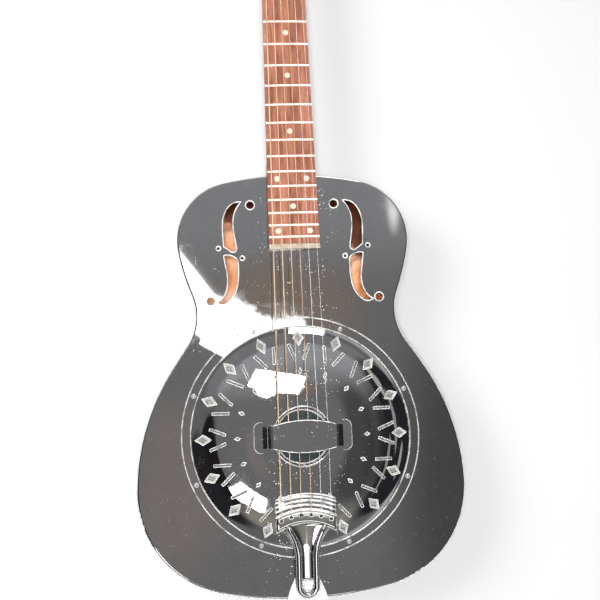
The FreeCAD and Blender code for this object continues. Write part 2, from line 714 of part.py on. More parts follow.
def tailpiece():
    """A stepped head that holds the ball ends, on a stem pressed into two round ridges."""
    rail_z = TAIL_RIBS[-1][1] - 0.4
    under = TAIL_RIBS[0][1] - SHEET
    steps = [
        sector(radius, RAIL_RADIUS - RAIL_BEAD, TAIL_HALF_WIDTH, under, top) for radius, top in TAIL_RIBS
    ]
    rail = Part.makeTorus(RAIL_RADIUS, RAIL_BEAD, Vector(0, TAIL_CENTRE_Y, rail_z - 1.0))
    rail = rail.common(box(-TAIL_HALF_WIDTH, TAIL_HALF_WIDTH, TAIL_CENTRE_Y, 0, under, rail_z + RAIL_BEAD))
    deck = sector(RAIL_RADIUS, RAIL_RADIUS - DECK_LENGTH, DECK_HALF, under, under + SHEET * 1.4)
    head = union(steps + [rail, deck])
    head = head.cut(string_tools(0.25))
    shoulder = math.radians(STEM_SHOULDER)
    centre = Vector(STEM_HALF_WIDTH + STEM_BEND, STEM_BEND_Y, 0)
    top = centre + Vector(-math.cos(shoulder), math.sin(shoulder), 0) * STEM_BEND
    middle = centre + Vector(-math.cos(shoulder / 2), math.sin(shoulder / 2), 0) * STEM_BEND
    low = Vector(STEM_HALF_WIDTH, HINGE_Y + 1.0, 0)
    half = [
        Part.Arc(top, middle, Vector(STEM_HALF_WIDTH, STEM_BEND_Y, 0)).toShape(),
        Part.LineSegment(Vector(STEM_HALF_WIDTH, STEM_BEND_Y, 0), low).toShape(),
    ]
    bottom = Part.Arc(low, Vector(0, low.y - STEM_HALF_WIDTH, 0), Vector(-low.x, low.y, 0)).toShape()
    edges = half + [bottom, mirrored(half[1]), mirrored(half[0])]
    ridge = tube_along(Part.Wire(Part.__sortEdges__(edges)).OrderedEdges, STEM_TUBE)
    chord = Part.LineSegment(top, Vector(-top.x, top.y, 0)).toShape()
    web = Part.Face(Part.Wire(Part.__sortEdges__(edges + [chord])))
    web = web.extrude(UP * SHEET * 1.3)
    web.translate(Vector(0, 0, -SHEET))
    stem = ridge.fuse(web)
    slope = math.degrees(math.atan2(under + 0.8 - HINGE_Z, top.y - HINGE_Y))
    stem.translate(Vector(0, -HINGE_Y, 0))
    stem.rotate(Vector(0, 0, 0), Vector(1, 0, 0), slope)
    stem.translate(Vector(0, HINGE_Y, HINGE_Z))
    hinge = hinge_rod(HINGE_PIN_RADIUS, STEM_HALF_WIDTH * 2)
    ear_gap = box(-HINGE_EAR / 2 - 0.4, HINGE_EAR / 2 + 0.4, HINGE_Y - 3.5, HINGE_Y + 3.5, 0, HINGE_Z + 3.2)
    stem = stem.cut([ear_gap, dome_space(), box(-60, 60, -200, 0, 0, TOP_Z + HANGER_SHEET + 0.1)])
    whole = one_solid(head.fuse(stem)).cut([hinge] + string_tools(0.25))
    return one_solid(whole)


def hinge_rod(radius, half_length):
    """A bar along the axis of the tailpiece's hinge."""
    return rod(radius, Vector(-half_length, HINGE_Y, HINGE_Z), Vector(half_length, HINGE_Y, HINGE_Z))


def hanger_space():
    """The room outside the body that the hanger lies in."""
    return outline_prism(-HANGER_SHEET, PIN_Z - 14.0, TOP_Z + HANGER_SHEET).cut(
        outline_prism(0, 0, TOP_Z)
    )


def tailpiece_hanger():
    """A fan-shaped foot on the top, folded over the edge and down to the end pin, with an
    upright ear for the tailpiece's hinge pin."""
    head, waist, wide = HANGER_HALVES
    low_waist, low = HANGER_DROP_HALVES
    front, tail = HINGE_Y + 12.0, HINGE_Y - 20.0
    flank = Part.Arc(Vector(head, front, 0), Vector(waist, HINGE_Y + 2.0, 0), Vector(wide, tail, 0))
    flank = flank.toShape()
    foot = Part.Face(Part.Wire(Part.__sortEdges__([
        flank, mirrored(flank),
        Part.LineSegment(Vector(-head, front, 0), Vector(head, front, 0)).toShape(),
        Part.LineSegment(Vector(-wide, tail, 0), Vector(wide, tail, 0)).toShape(),
    ])))
    foot.translate(Vector(0, 0, TOP_Z - 4.0))
    foot = foot.extrude(UP * 8.0)
    drop = polygon_face([
        Vector(-wide, tail, TOP_Z), Vector(wide, tail, TOP_Z), Vector(low_waist, tail, TOP_Z - 18.0),
        Vector(low, tail, PIN_Z - 12.0), Vector(-low, tail, PIN_Z - 12.0),
        Vector(-low_waist, tail, TOP_Z - 18.0),
    ]).extrude(Vector(0, 30.0, 0))
    strap = hanger_space().common(union([foot, drop]))
    ear = box(-HINGE_EAR / 2, HINGE_EAR / 2, HINGE_Y - KNUCKLE_RADIUS, HINGE_Y + KNUCKLE_RADIUS,
              TOP_Z, HINGE_Z)
    knuckle = hinge_rod(KNUCKLE_RADIUS, HINGE_EAR / 2)
    hinge = hinge_rod(HINGE_PIN_RADIUS, STEM_HALF_WIDTH * 2)
    return one_solid(union([strap, ear, knuckle]).cut([hinge, end_pin_bore(PIN_SHANK_RADIUS)]))


def tailpiece_hinge_pin():
    return hinge_rod(HINGE_PIN_RADIUS, STEM_HALF_WIDTH + STEM_TUBE - 0.2)


def tail_end_y():
    return closed_outline(0).BoundBox.YMin


def end_pin_bore(radius):
    tail = tail_end_y()
    return rod(radius, Vector(0, tail - 8.0, PIN_Z), Vector(0, tail + 26.0, PIN_Z))


def end_pin():
    """A waisted strap pin screwed through the hanger into the neck stick."""
    seat = tail_end_y() - HANGER_SHEET
    face = polygon_face([Vector(radius, seat + along, PIN_Z) for radius, along in PIN_PROFILE])
    return face.revolve(Vector(0, 0, PIN_Z), Vector(0, 1, 0), 360)


# --- Neck -----------------------------------------------------------------------------------

def fret_place(number):
    return SCALE * 2 ** (-number / 12)


def board_half_width(place):
    middle = SCALE / 2
    slope = (TWELFTH_WIDTH - NUT_WIDTH) / (SCALE - middle)
    return (NUT_WIDTH + slope * (SCALE - place)) / 2


def board_prism(start, end, low, high):
    """The tapering footprint of the fingerboard between two places, in the neck frame."""
    near = board_half_width(start)
    far = board_half_width(end)
    face = polygon_face([
        Vector(-near, start, low), Vector(near, start, low), Vector(far, end, low), Vector(-far, end, low),
    ])
    return face.extrude(UP * (high - low))


def board_blank():
    """The fingerboard with its curved top, before the slots and dots."""
    block = board_prism(BOARD_END, SCALE, -BOARD_THICKNESS, 1.0)
    curve = Part.makeCylinder(BOARD_RADIUS, SCALE - BOARD_END, Vector(0, BOARD_END, -BOARD_RADIUS),
                              Vector(0, 1, 0))
    return block.common(curve)


def across_board(profile, place):
    """Turns a fret's profile across the curved board, from edge to edge."""
    reach = math.degrees(math.asin(board_half_width(place) / BOARD_RADIUS))
    axis = Vector(0, 0, -BOARD_RADIUS)
    profile.rotate(axis, Vector(0, 1, 0), -reach)
    return profile.revolve(axis, Vector(0, 1, 0), 2 * reach)


def fret_tang(place):
    half = TANG_WIDTH / 2
    profile = polygon_face([
        Vector(0, place - half, 0), Vector(0, place + half, 0),
        Vector(0, place + half, -TANG_DEPTH), Vector(0, place - half, -TANG_DEPTH),
    ])
    return across_board(profile, place)


def fret_crown(place):
    half = FRET_WIDTH / 2
    left, right = Vector(0, place - half, 0), Vector(0, place + half, 0)
    arch = Part.Arc(left, Vector(0, place, FRET_HEIGHT), right).toShape()
    base = Part.LineSegment(left, right).toShape()
    return across_board(Part.Face(Part.Wire([arch, base])), place)


def dot_places():
    """Centres of the pearl dots, midway between two frets."""
    for number in SINGLE_DOTS:
        yield Vector(0, (fret_place(number) + fret_place(number - 1)) / 2, -DOT_DEPTH)
    for number, offset in DOUBLE_DOTS.items():
        middle = (fret_place(number) + fret_place(number - 1)) / 2
        yield Vector(offset, middle, -DOT_DEPTH - 0.4)
        yield Vector(-offset, middle, -DOT_DEPTH - 0.4)


def fingerboard_parts():
    """The fingerboard, its frets, its dots and the small dots on its bass edge."""
    blank = board_blank()
    places = [fret_place(number) for number in range(1, FRETS + 1)]
    dots = [Part.makeCylinder(DOT_RADIUS, 4.0, centre).common(blank) for centre in dot_places()]
    side_dots = []
    for number, offsets in SIDE_DOTS:
        for offset in offsets:
            place = (fret_place(number) + fret_place(number - 1)) / 2 + offset
            edge = -board_half_width(place)
            peg = rod(SIDE_DOT_RADIUS, Vector(edge - 1.0, place, -SIDE_DOT_DROP),
                      Vector(edge + 2.0, place, -SIDE_DOT_DROP))
            side_dots.append(peg.common(blank))
    board = blank.cut([fret_tang(place) for place in places] + dots + side_dots)
    frets = [fret_crown(place).fuse(fret_tang(place)) for place in places]
    groups = (board, Part.makeCompound([one_solid(fret) for fret in frets]),
              Part.makeCompound(dots), Part.makeCompound(side_dots))
    return [placed(group, NECK) for group in groups]


def rounded_section(half_width, depth, squareness, steps=8):
    """A closed section under a flat top: half an ellipse, or squarer for a small power."""
    points = []
    for step in range(steps + 1):
        angle = math.pi * step / steps
        x = math.copysign(abs(math.cos(angle)) ** squareness, math.cos(angle)) * half_width
        points.append(Vector(x, 0, -depth * math.sin(angle) ** squareness))
    curve = Part.BSplineCurve()
    curve.interpolate(points)
    return Part.Wire([curve.toShape(), Part.LineSegment(points[-1], points[0]).toShape()])


def neck_section(place, half_width, depth):
    section = rounded_section(half_width, depth, 1.0)
    section.translate(Vector(0, place, -BOARD_THICKNESS))
    return section


def neck_shaft():
    """The heel, swept up into a straight tapering shaft."""
    heel = Part.makeLoft([neck_section(*station) for station in HEEL_SECTIONS], True)
    shaft = Part.makeLoft([neck_section(*HEEL_SECTIONS[-1]), neck_section(*SHAFT_END)], True, True)
    return placed(heel.fuse(shaft), NECK)


def neck_throat():
    """The short stretch where the round neck becomes the flat headstock."""
    first = neck_section(*SHAFT_END)
    last = rounded_section(HEAD_THROAT_HALF - 0.4, HEAD_THICKNESS - VENEER - 0.3, 0.4)
    last.translate(Vector(0, HEAD_START + 2.0, -VENEER + 0.5))
    throat = Part.makeLoft([placed(first, NECK), placed(last, HEAD)], True, True)
    return throat.cut(placed(box(-60, 60, VENEER_START, HEAD_START + 20, -VENEER, 20), HEAD))


def head_outline(start):
    """The headstock's outline: shoulders, straight flaring sides and a low crowned end."""
    narrow = HEAD_THROAT_HALF - 1.6
    shoulder = spline(((narrow, start), (HEAD_THROAT_HALF, HEAD_START)) + HEAD_SHOULDER)
    side = Part.LineSegment(flat(HEAD_SHOULDER[-1]), flat(HEAD_SIDE_END)).toShape()
    corner = Part.Arc(flat(HEAD_SIDE_END), flat(HEAD_CORNER[0]), flat(HEAD_CORNER[1])).toShape()
    crown = Part.Arc(flat(HEAD_CORNER[1]), flat(HEAD_CROWN), Vector(0, HEAD_LENGTH, 0)).toShape()
    half = [shoulder, side, corner, crown]
    neck_end = Part.LineSegment(Vector(-narrow, start, 0), Vector(narrow, start, 0)).toShape()
    edges = half + [mirrored(edge) for edge in half] + [neck_end]
    return Part.Face(Part.Wire(Part.__sortEdges__(edges)))


def tuner_holes(radius):
    return [
        Part.makeCylinder(radius, HEAD_THICKNESS + 2, Vector(side * POST_OFFSET, place, -HEAD_THICKNESS - 1))
        for side in (-1, 1) for place in POST_PLACES
    ]


def truss_bar():
    """The straight part of the truss rod, which is also the channel that it lies in."""
    rod_z = -BOARD_THICKNESS - TRUSS_DROP
    return rod(TRUSS_RADIUS, Vector(0, TRUSS_START, rod_z), Vector(0, HEAD_PLACE + 8, rod_z))


def truss_rod():
    """A rod under the fingerboard with a nut at its headstock end."""
    rod_z = -BOARD_THICKNESS - TRUSS_DROP
    nut = rod(TRUSS_NUT_RADIUS, Vector(0, HEAD_PLACE + 2, rod_z), Vector(0, HEAD_PLACE + 7, rod_z))
    return placed(one_solid(truss_bar().fuse(nut)), NECK)


def neck():
    """Shaft, heel, the tongue that carries the fingerboard over the body, and headstock."""
    tongue = placed(board_prism(BOARD_END, TONGUE_END, -TONGUE_LOW, -BOARD_THICKNESS), NECK)
    head = head_outline(0.0)
    head = head.common(Part.Face(Part.makePolygon([
        Vector(-60, HEAD_START, 0), Vector(60, HEAD_START, 0), Vector(60, 200, 0), Vector(-60, 200, 0),
        Vector(-60, HEAD_START, 0),
    ])))
    head.translate(Vector(0, 0, -HEAD_THICKNESS))
    head = head.extrude(UP * (HEAD_THICKNESS - VENEER))
    head = head.cut(tuner_holes(BUSHING_RADIUS))
    wood = union([neck_shaft(), neck_throat(), tongue, placed(head, HEAD)])
    half, start, end, depth = POCKET
    pocket = placed(box(-half, half, start, end, depth, 0), HEAD)
    return one_solid(wood.cut([outline_prism(0, -20.0, TOP_Z), pocket, placed(truss_bar(), NECK)]))


def neck_stick():
    """The wooden bar inside the body, from the heel to the tail."""
    half = STICK_WIDTH / 2
    bar = box(-half, half, -2 * BODY_TOP_Y, 2 * BODY_TOP_Y, STICK_LOW_Z, STICK_HIGH_Z)
    front = bar.common(box(-half, half, 0, 2 * BODY_TOP_Y, 0, BODY_DEPTH)).common(outline_prism(0, 0, TOP_Z))
    rear = bar.common(box(-half, half, -2 * BODY_TOP_Y, 0, 0, BODY_DEPTH))
    rear = rear.common(outline_prism(SHEET, 0, TOP_Z))
    return one_solid(front.fuse(rear).cut(end_pin_bore(PIN_SHANK_RADIUS)))


def nut():
    """Bone, curved like the fingerboard and grooved for the strings."""
    half = NUT_WIDTH / 2
    block = box(-half, half, NUT_PLACE, HEAD_PLACE, -BOARD_THICKNESS, 4.0)
    curve = Part.makeCylinder(BOARD_RADIUS + 2.3, 20.0, Vector(0, NUT_PLACE - 5, -BOARD_RADIUS),
                              Vector(0, 1, 0))
    return one_solid(placed(block.common(curve), NECK).cut(string_grooves()))


def headstock_veneer():
    face = head_outline(VENEER_START)
    face.translate(Vector(0, 0, -VENEER))
    half, start, end, depth = POCKET
    window = box(-half, half, start, end, depth, 1.0)
    sheet = face.extrude(UP * VENEER).cut(tuner_holes(BUSHING_RADIUS) + [window])
    return placed(sheet, HEAD)


def truss_rod_cover_face():
    side = spline(ROD_COVER_EDGE)
    corner = flat(ROD_COVER_EDGE[0])
    base = Part.LineSegment(Vector(-corner.x, corner.y, 0), corner).toShape()
    return Part.Face(Part.Wire(Part.__sortEdges__([side, mirrored(side), base])))


def truss_rod_cover():
    plate = truss_rod_cover_face().extrude(UP * ROD_COVER_THICKNESS)
    plate = plate.cut([Part.makeCylinder(1.0, 4.0, Vector(x, y, -1)) for x, y in ROD_COVER_SCREWS])
    return placed(plate, HEAD)


def small_screw(head_radius, head_height, shank_radius, shank):
    """A round-headed screw that stands on the x-y plane and points down."""
    sphere_radius = (head_radius ** 2 + head_height ** 2) / (2 * head_height)
    ball = Part.makeSphere(sphere_radius, Vector(0, 0, head_height - sphere_radius))
    head = ball.common(Part.makeCylinder(head_radius, head_height))
    head = head.cut(box(-head_radius, head_radius, -0.25, 0.25, head_height * 0.5, head_height * 2))
    return one_solid(head.fuse(Part.makeCylinder(shank_radius, shank, Vector(0, 0, -shank))))


def truss_rod_cover_screws():
    screws = []
    for x, y in ROD_COVER_SCREWS:
        screw = small_screw(*ROD_COVER_SCREW)
        screw.translate(Vector(x, y, ROD_COVER_THICKNESS))
        screws.append(screw)
    return placed(Part.makeCompound(screws), HEAD)


# --- Strings -------------------------------------------------------------------------------

def tail_point(index):
    """Where a string leaves its ball end, under the tailpiece's rail."""
    x = string_x(index, SADDLE_SPACING)
    return Vector(x, string_hole_y(x) - 1.4, TAIL_RIBS[-1][1] - 2.6)


def rail_point(index):
    """Where a string bends over the tailpiece's rail."""
    x = string_x(index, SADDLE_SPACING)
    radius = STRING_RADII[index - 1]
    return Vector(x, string_hole_y(x) + 2.6, TAIL_RIBS[-1][1] + 0.9 + radius)


def saddle_point(index):
    x = string_x(index, SADDLE_SPACING)
    return Vector(x, 0, crowned(x, SADDLE_STRING_Z) + STRING_RADII[index - 1])


def nut_point(index):
    x = string_x(index, NUT_SPACING)
    radius = STRING_RADII[index - 1]
    return NECK.multVec(Vector(x, NUT_PLACE + 1.0, crowned(x, NUT_CLEARANCE) + radius))


def post_end(index):
    """Where a string meets its post: strings 1 to 3 on the treble side."""
    side = 1 if index <= 3 else -1
    place = POST_PLACES[index - 1] if index <= 3 else POST_PLACES[6 - index]
    radius = STRING_RADII[index - 1]
    return HEAD.multVec(Vector(side * (POST_OFFSET - POST_RADIUS - POST_GAP - radius), place, STRING_LEVEL))


def string_points(index):
    return [tail_point(index), rail_point(index), saddle_point(index), nut_point(index), post_end(index)]


def string_body(index, extra):
    radius = STRING_RADII[index - 1] + extra
    bends = (RAIL_BEND + radius, STRING_BEND, STRING_BEND)
    return tube_along(rounded_path(string_points(index), bends), radius)


def string_part(index):
    """One string with its ball end."""
    start = tail_point(index)
    half = Vector(BALL_HALF_LENGTH, 0, 0)
    ball = rod(BALL_RADIUS, start - half, start + half)
    return one_solid(string_body(index, 0).fuse(ball))


def groove(centre, towards, radius, length):
    """Half of an open-topped groove, from the bend of a string towards one side."""
    left, right = Vector(-radius, 0, 0), Vector(radius, 0, 0)
    high = Vector(0, 0, 4.0)
    face = Part.Face(Part.Wire([
        Part.Arc(left, Vector(0, 0, -radius), right).toShape(),
        Part.LineSegment(right, right + high).toShape(),
        Part.LineSegment(right + high, left + high).toShape(),
        Part.LineSegment(left + high, left).toShape(),
    ]))
    face.translate(centre)
    return face.extrude((towards - centre).normalize() * length)


def string_grooves():
    """Grooves for the saddle and the nut, a little wider than the strings."""
    grooves = []
    for index in range(1, 7):
        radius = STRING_RADII[index - 1] + GROOVE_CLEARANCE
        points = string_points(index)
        for at in (2, 3):
            for side in (-1, 1):
                grooves.append(groove(points[at], points[at + side], radius, 2 * NUT_THICKNESS))
    return grooves


def string_tools(clearance):
    """Slots under the rail that let each string and its ball end in."""
    tools = []
    for index in range(1, 7):
        start = tail_point(index)
        radius = STRING_RADII[index - 1] + clearance
        half = BALL_HALF_LENGTH + 0.4
        tools.append(tube_along(rounded_path(string_points(index)[:3], (RAIL_BEND + radius,)), radius))
        tools.append(rod(BALL_RADIUS + 0.3, start - Vector(half, 0, 0), start + Vector(half, 0, 0)))
        tools.append(box(start.x - half, start.x + half, start.y - 1.6, start.y + 1.6,
                         start.z, start.z + 12.0))
    return tools


# --- Tuners -----------------------------------------------------------------------------------
# Each is drawn in a frame of its own: z along the post, out of the face, and x out to the
# button on the treble side. The bass side is its mirror image.

def tuner_gear():
    """A worm wheel with a little backlash, its teeth leaned to the worm's lead."""
    pitch = WORM_TEETH * MODULE / 2
    tip = pitch + MODULE
    root = pitch - 1.1 * MODULE
    lean = math.degrees(GEAR_THICKNESS * math.tan(worm_lead()) / pitch)
    low = GEAR_LEVEL - GEAR_THICKNESS / 2
    step = 2 * math.pi / WORM_TEETH
    widths = tuple(zip((root, tip), TOOTH_PARTS))
    points = []
    for tooth in range(WORM_TEETH):
        middle = math.pi / 2 + step * tooth
        for radius, part in widths:
            points.append((radius, middle - part * step))
        for radius, part in reversed(widths):
            points.append((radius, middle + part * step))

    def section(level, turn):
        turn = math.radians(turn)
        corners = [
            Vector(radius * math.cos(angle + turn), radius * math.sin(angle + turn), level)
            for radius, angle in points
        ]
        return Part.makePolygon(corners + [corners[0]])

    wheel = Part.makeLoft([section(low, lean / 2), section(low + GEAR_THICKNESS, -lean / 2)], True, True)
    return wheel.cut(Part.makeCylinder(SPIGOT_RADIUS, 20.0, Vector(0, 0, GEAR_LEVEL - 10)))


def worm_lead():
    """The lead angle of the worm's thread at its pitch line."""
    pitch = WORM_CENTRES - WORM_TEETH * MODULE / 2
    return math.atan(MODULE / (2 * pitch))


def tuner_worm():
    """A shaft along x with a single right-hand thread, centred over the gear."""
    lead = math.pi * MODULE
    turns = int(WORM_LENGTH / lead)
    length = turns * lead
    helix = Part.makeHelix(lead, length, WORM_ROOT_RADIUS)
    inner = WORM_ROOT_RADIUS - 0.25
    base, tip = [part * lead for part in THREAD_PARTS]
    profile = Part.makePolygon([
        Vector(inner, 0, -base), Vector(WORM_OUTER_RADIUS, 0, -tip), Vector(WORM_OUTER_RADIUS, 0, tip),
        Vector(inner, 0, base), Vector(inner, 0, -base),
    ])
    thread = Part.Wire(helix).makePipeShell([profile], True, True)
    thread.rotate(Vector(0, 0, 0), UP, THREAD_PHASE)
    thread.translate(Vector(0, 0, -length / 2))
    core = Part.makeCylinder(WORM_ROOT_RADIUS, LUG_INNER * 2 - 0.4, Vector(0, 0, -LUG_INNER + 0.2))
    shaft = Part.makeCylinder(SHAFT_RADIUS - 0.1, LUG_INNER + LUG_THICKNESS + 0.6 + BUTTON_START + 4.0,
                              Vector(0, 0, -LUG_INNER - LUG_THICKNESS - 0.6))
    worm = one_solid(thread.fuse([core, shaft]))
    worm.rotate(Vector(0, 0, 0), Vector(0, 1, 0), 90)
    worm.translate(Vector(0, WORM_CENTRES, GEAR_LEVEL))
    return worm


def tuner_button():
    """A flattened oval knob on the end of the worm's shaft."""
    collar = Part.makeCylinder(*BUTTON_COLLAR, Vector(BUTTON_START, 0, 0), Vector(1, 0, 0))
    knob = Part.makeSphere(1.0)
    stretch = FreeCAD.Matrix()
    stretch.scale(BUTTON_LENGTH / 2, BUTTON_HALF_WIDTH, BUTTON_HALF_HEIGHT)
    knob = knob.transformGeometry(stretch)
    knob.translate(Vector(BUTTON_START + 2.0 + BUTTON_LENGTH / 2, 0, 0))
    button = one_solid(collar.fuse(knob))
    button = button.cut(Part.makeCylinder(SHAFT_RADIUS - 0.1, 4.0, Vector(BUTTON_START, 0, 0),
                                          Vector(1, 0, 0)))
    button.translate(Vector(0, WORM_CENTRES, GEAR_LEVEL))
    return button


def tuner_post():
    """The capstan: waisted where the string winds, with a cross hole, and a spigot below."""
    spigot_low = GEAR_LEVEL - GEAR_THICKNESS / 2
    shoulder = GEAR_LEVEL + GEAR_THICKNESS / 2
    waist = POST_RADIUS - WAIST_CUT
    waist_low, waist_start, waist_end, waist_high = WAIST_LEVELS
    post = turned([
        (0, spigot_low), (SPIGOT_RADIUS, spigot_low), (SPIGOT_RADIUS, shoulder), (POST_RADIUS, shoulder),
        (POST_RADIUS, waist_low), (waist, waist_start), (waist, waist_end), (POST_RADIUS, waist_high),
        (POST_RADIUS, POST_HEIGHT - 1), (POST_RADIUS - 1, POST_HEIGHT), (0, POST_HEIGHT),
    ])
    cross_radius, cross_level = CROSS_HOLE
    reach = 2 * POST_RADIUS
    cross = rod(cross_radius, Vector(-reach, 0, cross_level), Vector(reach, 0, cross_level))
    bore = Part.makeCylinder(GEAR_SCREW_RADIUS, GEAR_THICKNESS, Vector(0, 0, spigot_low))
    return one_solid(post.cut([cross, bore]))


def tuner_gear_screw():
    low = GEAR_LEVEL - GEAR_THICKNESS / 2
    screw = small_screw(*GEAR_SCREW_HEAD, GEAR_SCREW_RADIUS, GEAR_THICKNESS)
    screw.rotate(Vector(0, 0, 0), Vector(1, 0, 0), 180)
    screw.translate(Vector(0, 0, low))
    return screw


def tuner_strip(side):
    """The plate of one side: a long strip with a pair of lugs for each worm."""
    first, last = POST_PLACES[0] - STRIP_MARGIN, POST_PLACES[-1] + STRIP_MARGIN
    inner_x, outer_x = POST_OFFSET - STRIP_INNER, POST_OFFSET + STRIP_OUTER
    top, low = -HEAD_THICKNESS, -HEAD_THICKNESS - STRIP_THICKNESS
    strip = box(inner_x, outer_x, first, last, low, top)
    ends = [
        edge for edge in strip.Edges if abs(edge.Vertexes[0].Z - edge.Vertexes[1].Z) > 0.5
    ]
    strip = strip.makeFillet(STRIP_CORNER, ends)
    lugs = []
    bores = []
    for place in POST_PLACES:
        centre = place + WORM_CENTRES
        for start in (-LUG_INNER - LUG_THICKNESS, LUG_INNER):
            x0 = POST_OFFSET + start
            x1 = x0 + LUG_THICKNESS
            lug = box(x0, x1, centre - LUG_RADIUS, centre + LUG_RADIUS, GEAR_LEVEL, low)
            round_end = rod(LUG_RADIUS, Vector(x0, centre, GEAR_LEVEL), Vector(x1, centre, GEAR_LEVEL))
            lugs.append(lug.fuse(round_end))
        bores.append(rod(SHAFT_RADIUS - 0.1 + RUNNING_CLEARANCE,
                         Vector(POST_OFFSET - 12, centre, GEAR_LEVEL),
                         Vector(POST_OFFSET + 12, centre, GEAR_LEVEL)))
        bores.append(Part.makeCylinder(POST_RADIUS + RUNNING_CLEARANCE, 4.0,
                                       Vector(POST_OFFSET, place, -HEAD_THICKNESS - 2)))
    screws = [
        Part.makeCylinder(PLATE_SCREW_RADIUS, 4.0, Vector(x, y, low - 1))
        for x, y in plate_screw_places()
    ]
    plate = one_solid(union([strip] + lugs).cut(bores + screws))
    return plate if side > 0 else mirrored(plate)


def plate_screw_places():
    """Screws at both ends of a strip and between the tuners."""
    for place in (POST_PLACES[0] - 12.0, POST_PLACES[0] + 20.0, POST_PLACES[1] + 20.0, POST_PLACES[2] + 13.4):
        yield POST_OFFSET, place


def tuner_plates():
    return placed(Part.makeCompound([tuner_strip(1), tuner_strip(-1)]), HEAD)


def tuner_plate_screws():
    """Short screws through the strips; each ends flush inside the strip's own hole."""
    screws = []
    for side in (-1, 1):
        for x, y in plate_screw_places():
            screw = small_screw(*PLATE_SCREW_HEAD, PLATE_SCREW_RADIUS, STRIP_THICKNESS)
            screw.rotate(Vector(0, 0, 0), Vector(1, 0, 0), 180)
            screw.translate(Vector(side * x, y, -HEAD_THICKNESS - STRIP_THICKNESS))
            screws.append(screw)
    return placed(Part.makeCompound(screws), HEAD)


def tuner_bushings():
    """Pressed metal ferrules that guide the posts at the face of the headstock."""
    bushings = []
    bore = POST_RADIUS + RUNNING_CLEARANCE
    flange = BUSHING_RADIUS + FERRULE_FLANGE
    profile = [
        (bore, -FERRULE_DEPTH), (BUSHING_RADIUS, -FERRULE_DEPTH), (BUSHING_RADIUS, 0.0),
        (flange, 0.0), (flange - 0.2, 0.9), (BUSHING_RADIUS, FERRULE_HEIGHT), (bore, FERRULE_HEIGHT),
    ]
    for side in (-1, 1):
        for place in POST_PLACES:
            bushing = turned(profile)
            bushing.translate(Vector(side * POST_OFFSET, place, 0))
            bushings.append(bushing)
    return placed(Part.makeCompound(bushings), HEAD)


def tuner_nodes():
    """Button, worm, post and gear of each string's tuner, named by the string's number."""
    gear = Part.makeCompound([tuner_gear(), tuner_gear_screw()])
    drawn = {"button": tuner_button(), "worm": tuner_worm(), "post": tuner_post(), "gear": gear}
    nodes = {}
    for index in range(1, 7):
        treble = index <= 3
        place = POST_PLACES[index - 1] if treble else POST_PLACES[6 - index]
        for name, shape in drawn.items():
            copy = shape.copy() if treble else mirrored(shape)
            copy.translate(Vector(POST_OFFSET if treble else -POST_OFFSET, place, 0))
            nodes["tuner_%s_%d" % (name, index)] = placed(copy, HEAD)
    return nodes


# --- All parts -----------------------------------------------------------------------------------

def all_nodes():
    bass_side, treble_side = body_sides()
    board, frets, dots, side_dots = fingerboard_parts()
    nodes = {
        "top_plate": top_plate(),
        "back_plate": back_plate(),
        "bass_side": bass_side,
        "treble_side": treble_side,
        "sound_well": sound_well(),
        "resonator_cone": resonator_cone(),
        "bridge_biscuit": bridge_biscuit(),
        "bridge_saddle": bridge_saddle(),
        "biscuit_screw": biscuit_screw(),
        "cover_plate": cover_plate(),
        "cover_plate_screws": cover_plate_screws(),
        "hand_rest": hand_rest(),
        "tailpiece": tailpiece(),
        "tailpiece_hanger": tailpiece_hanger(),
        "tailpiece_hinge_pin": tailpiece_hinge_pin(),
        "end_pin": end_pin(),
        "neck": neck(),
        "neck_stick": neck_stick(),
        "fingerboard": board,
        "frets": frets,
        "fret_markers": dots,
        "side_markers": side_dots,
        "nut": nut(),
        "headstock_veneer": headstock_veneer(),
        "truss_rod": truss_rod(),
        "truss_rod_cover": truss_rod_cover(),
        "truss_rod_cover_screws": truss_rod_cover_screws(),
        "tuner_plates": tuner_plates(),
        "tuner_plate_screws": tuner_plate_screws(),
        "tuner_bushings": tuner_bushings(),
    }
    for index in range(1, 7):
        nodes["string_%d" % index] = string_part(index)
    nodes.update(tuner_nodes())
    return nodes


def main():
    os.makedirs("parts", exist_ok=True)
    for name, shape in all_nodes().items():
        shape.exportStep("parts/" + name + ".step")
        print(name, "solids", len(shape.Solids), "valid", shape.isValid(), "volume %.1f" % shape.Volume)


main()
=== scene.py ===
import json
import math
import bmesh
import bpy
from mathutils import Matrix, Vector


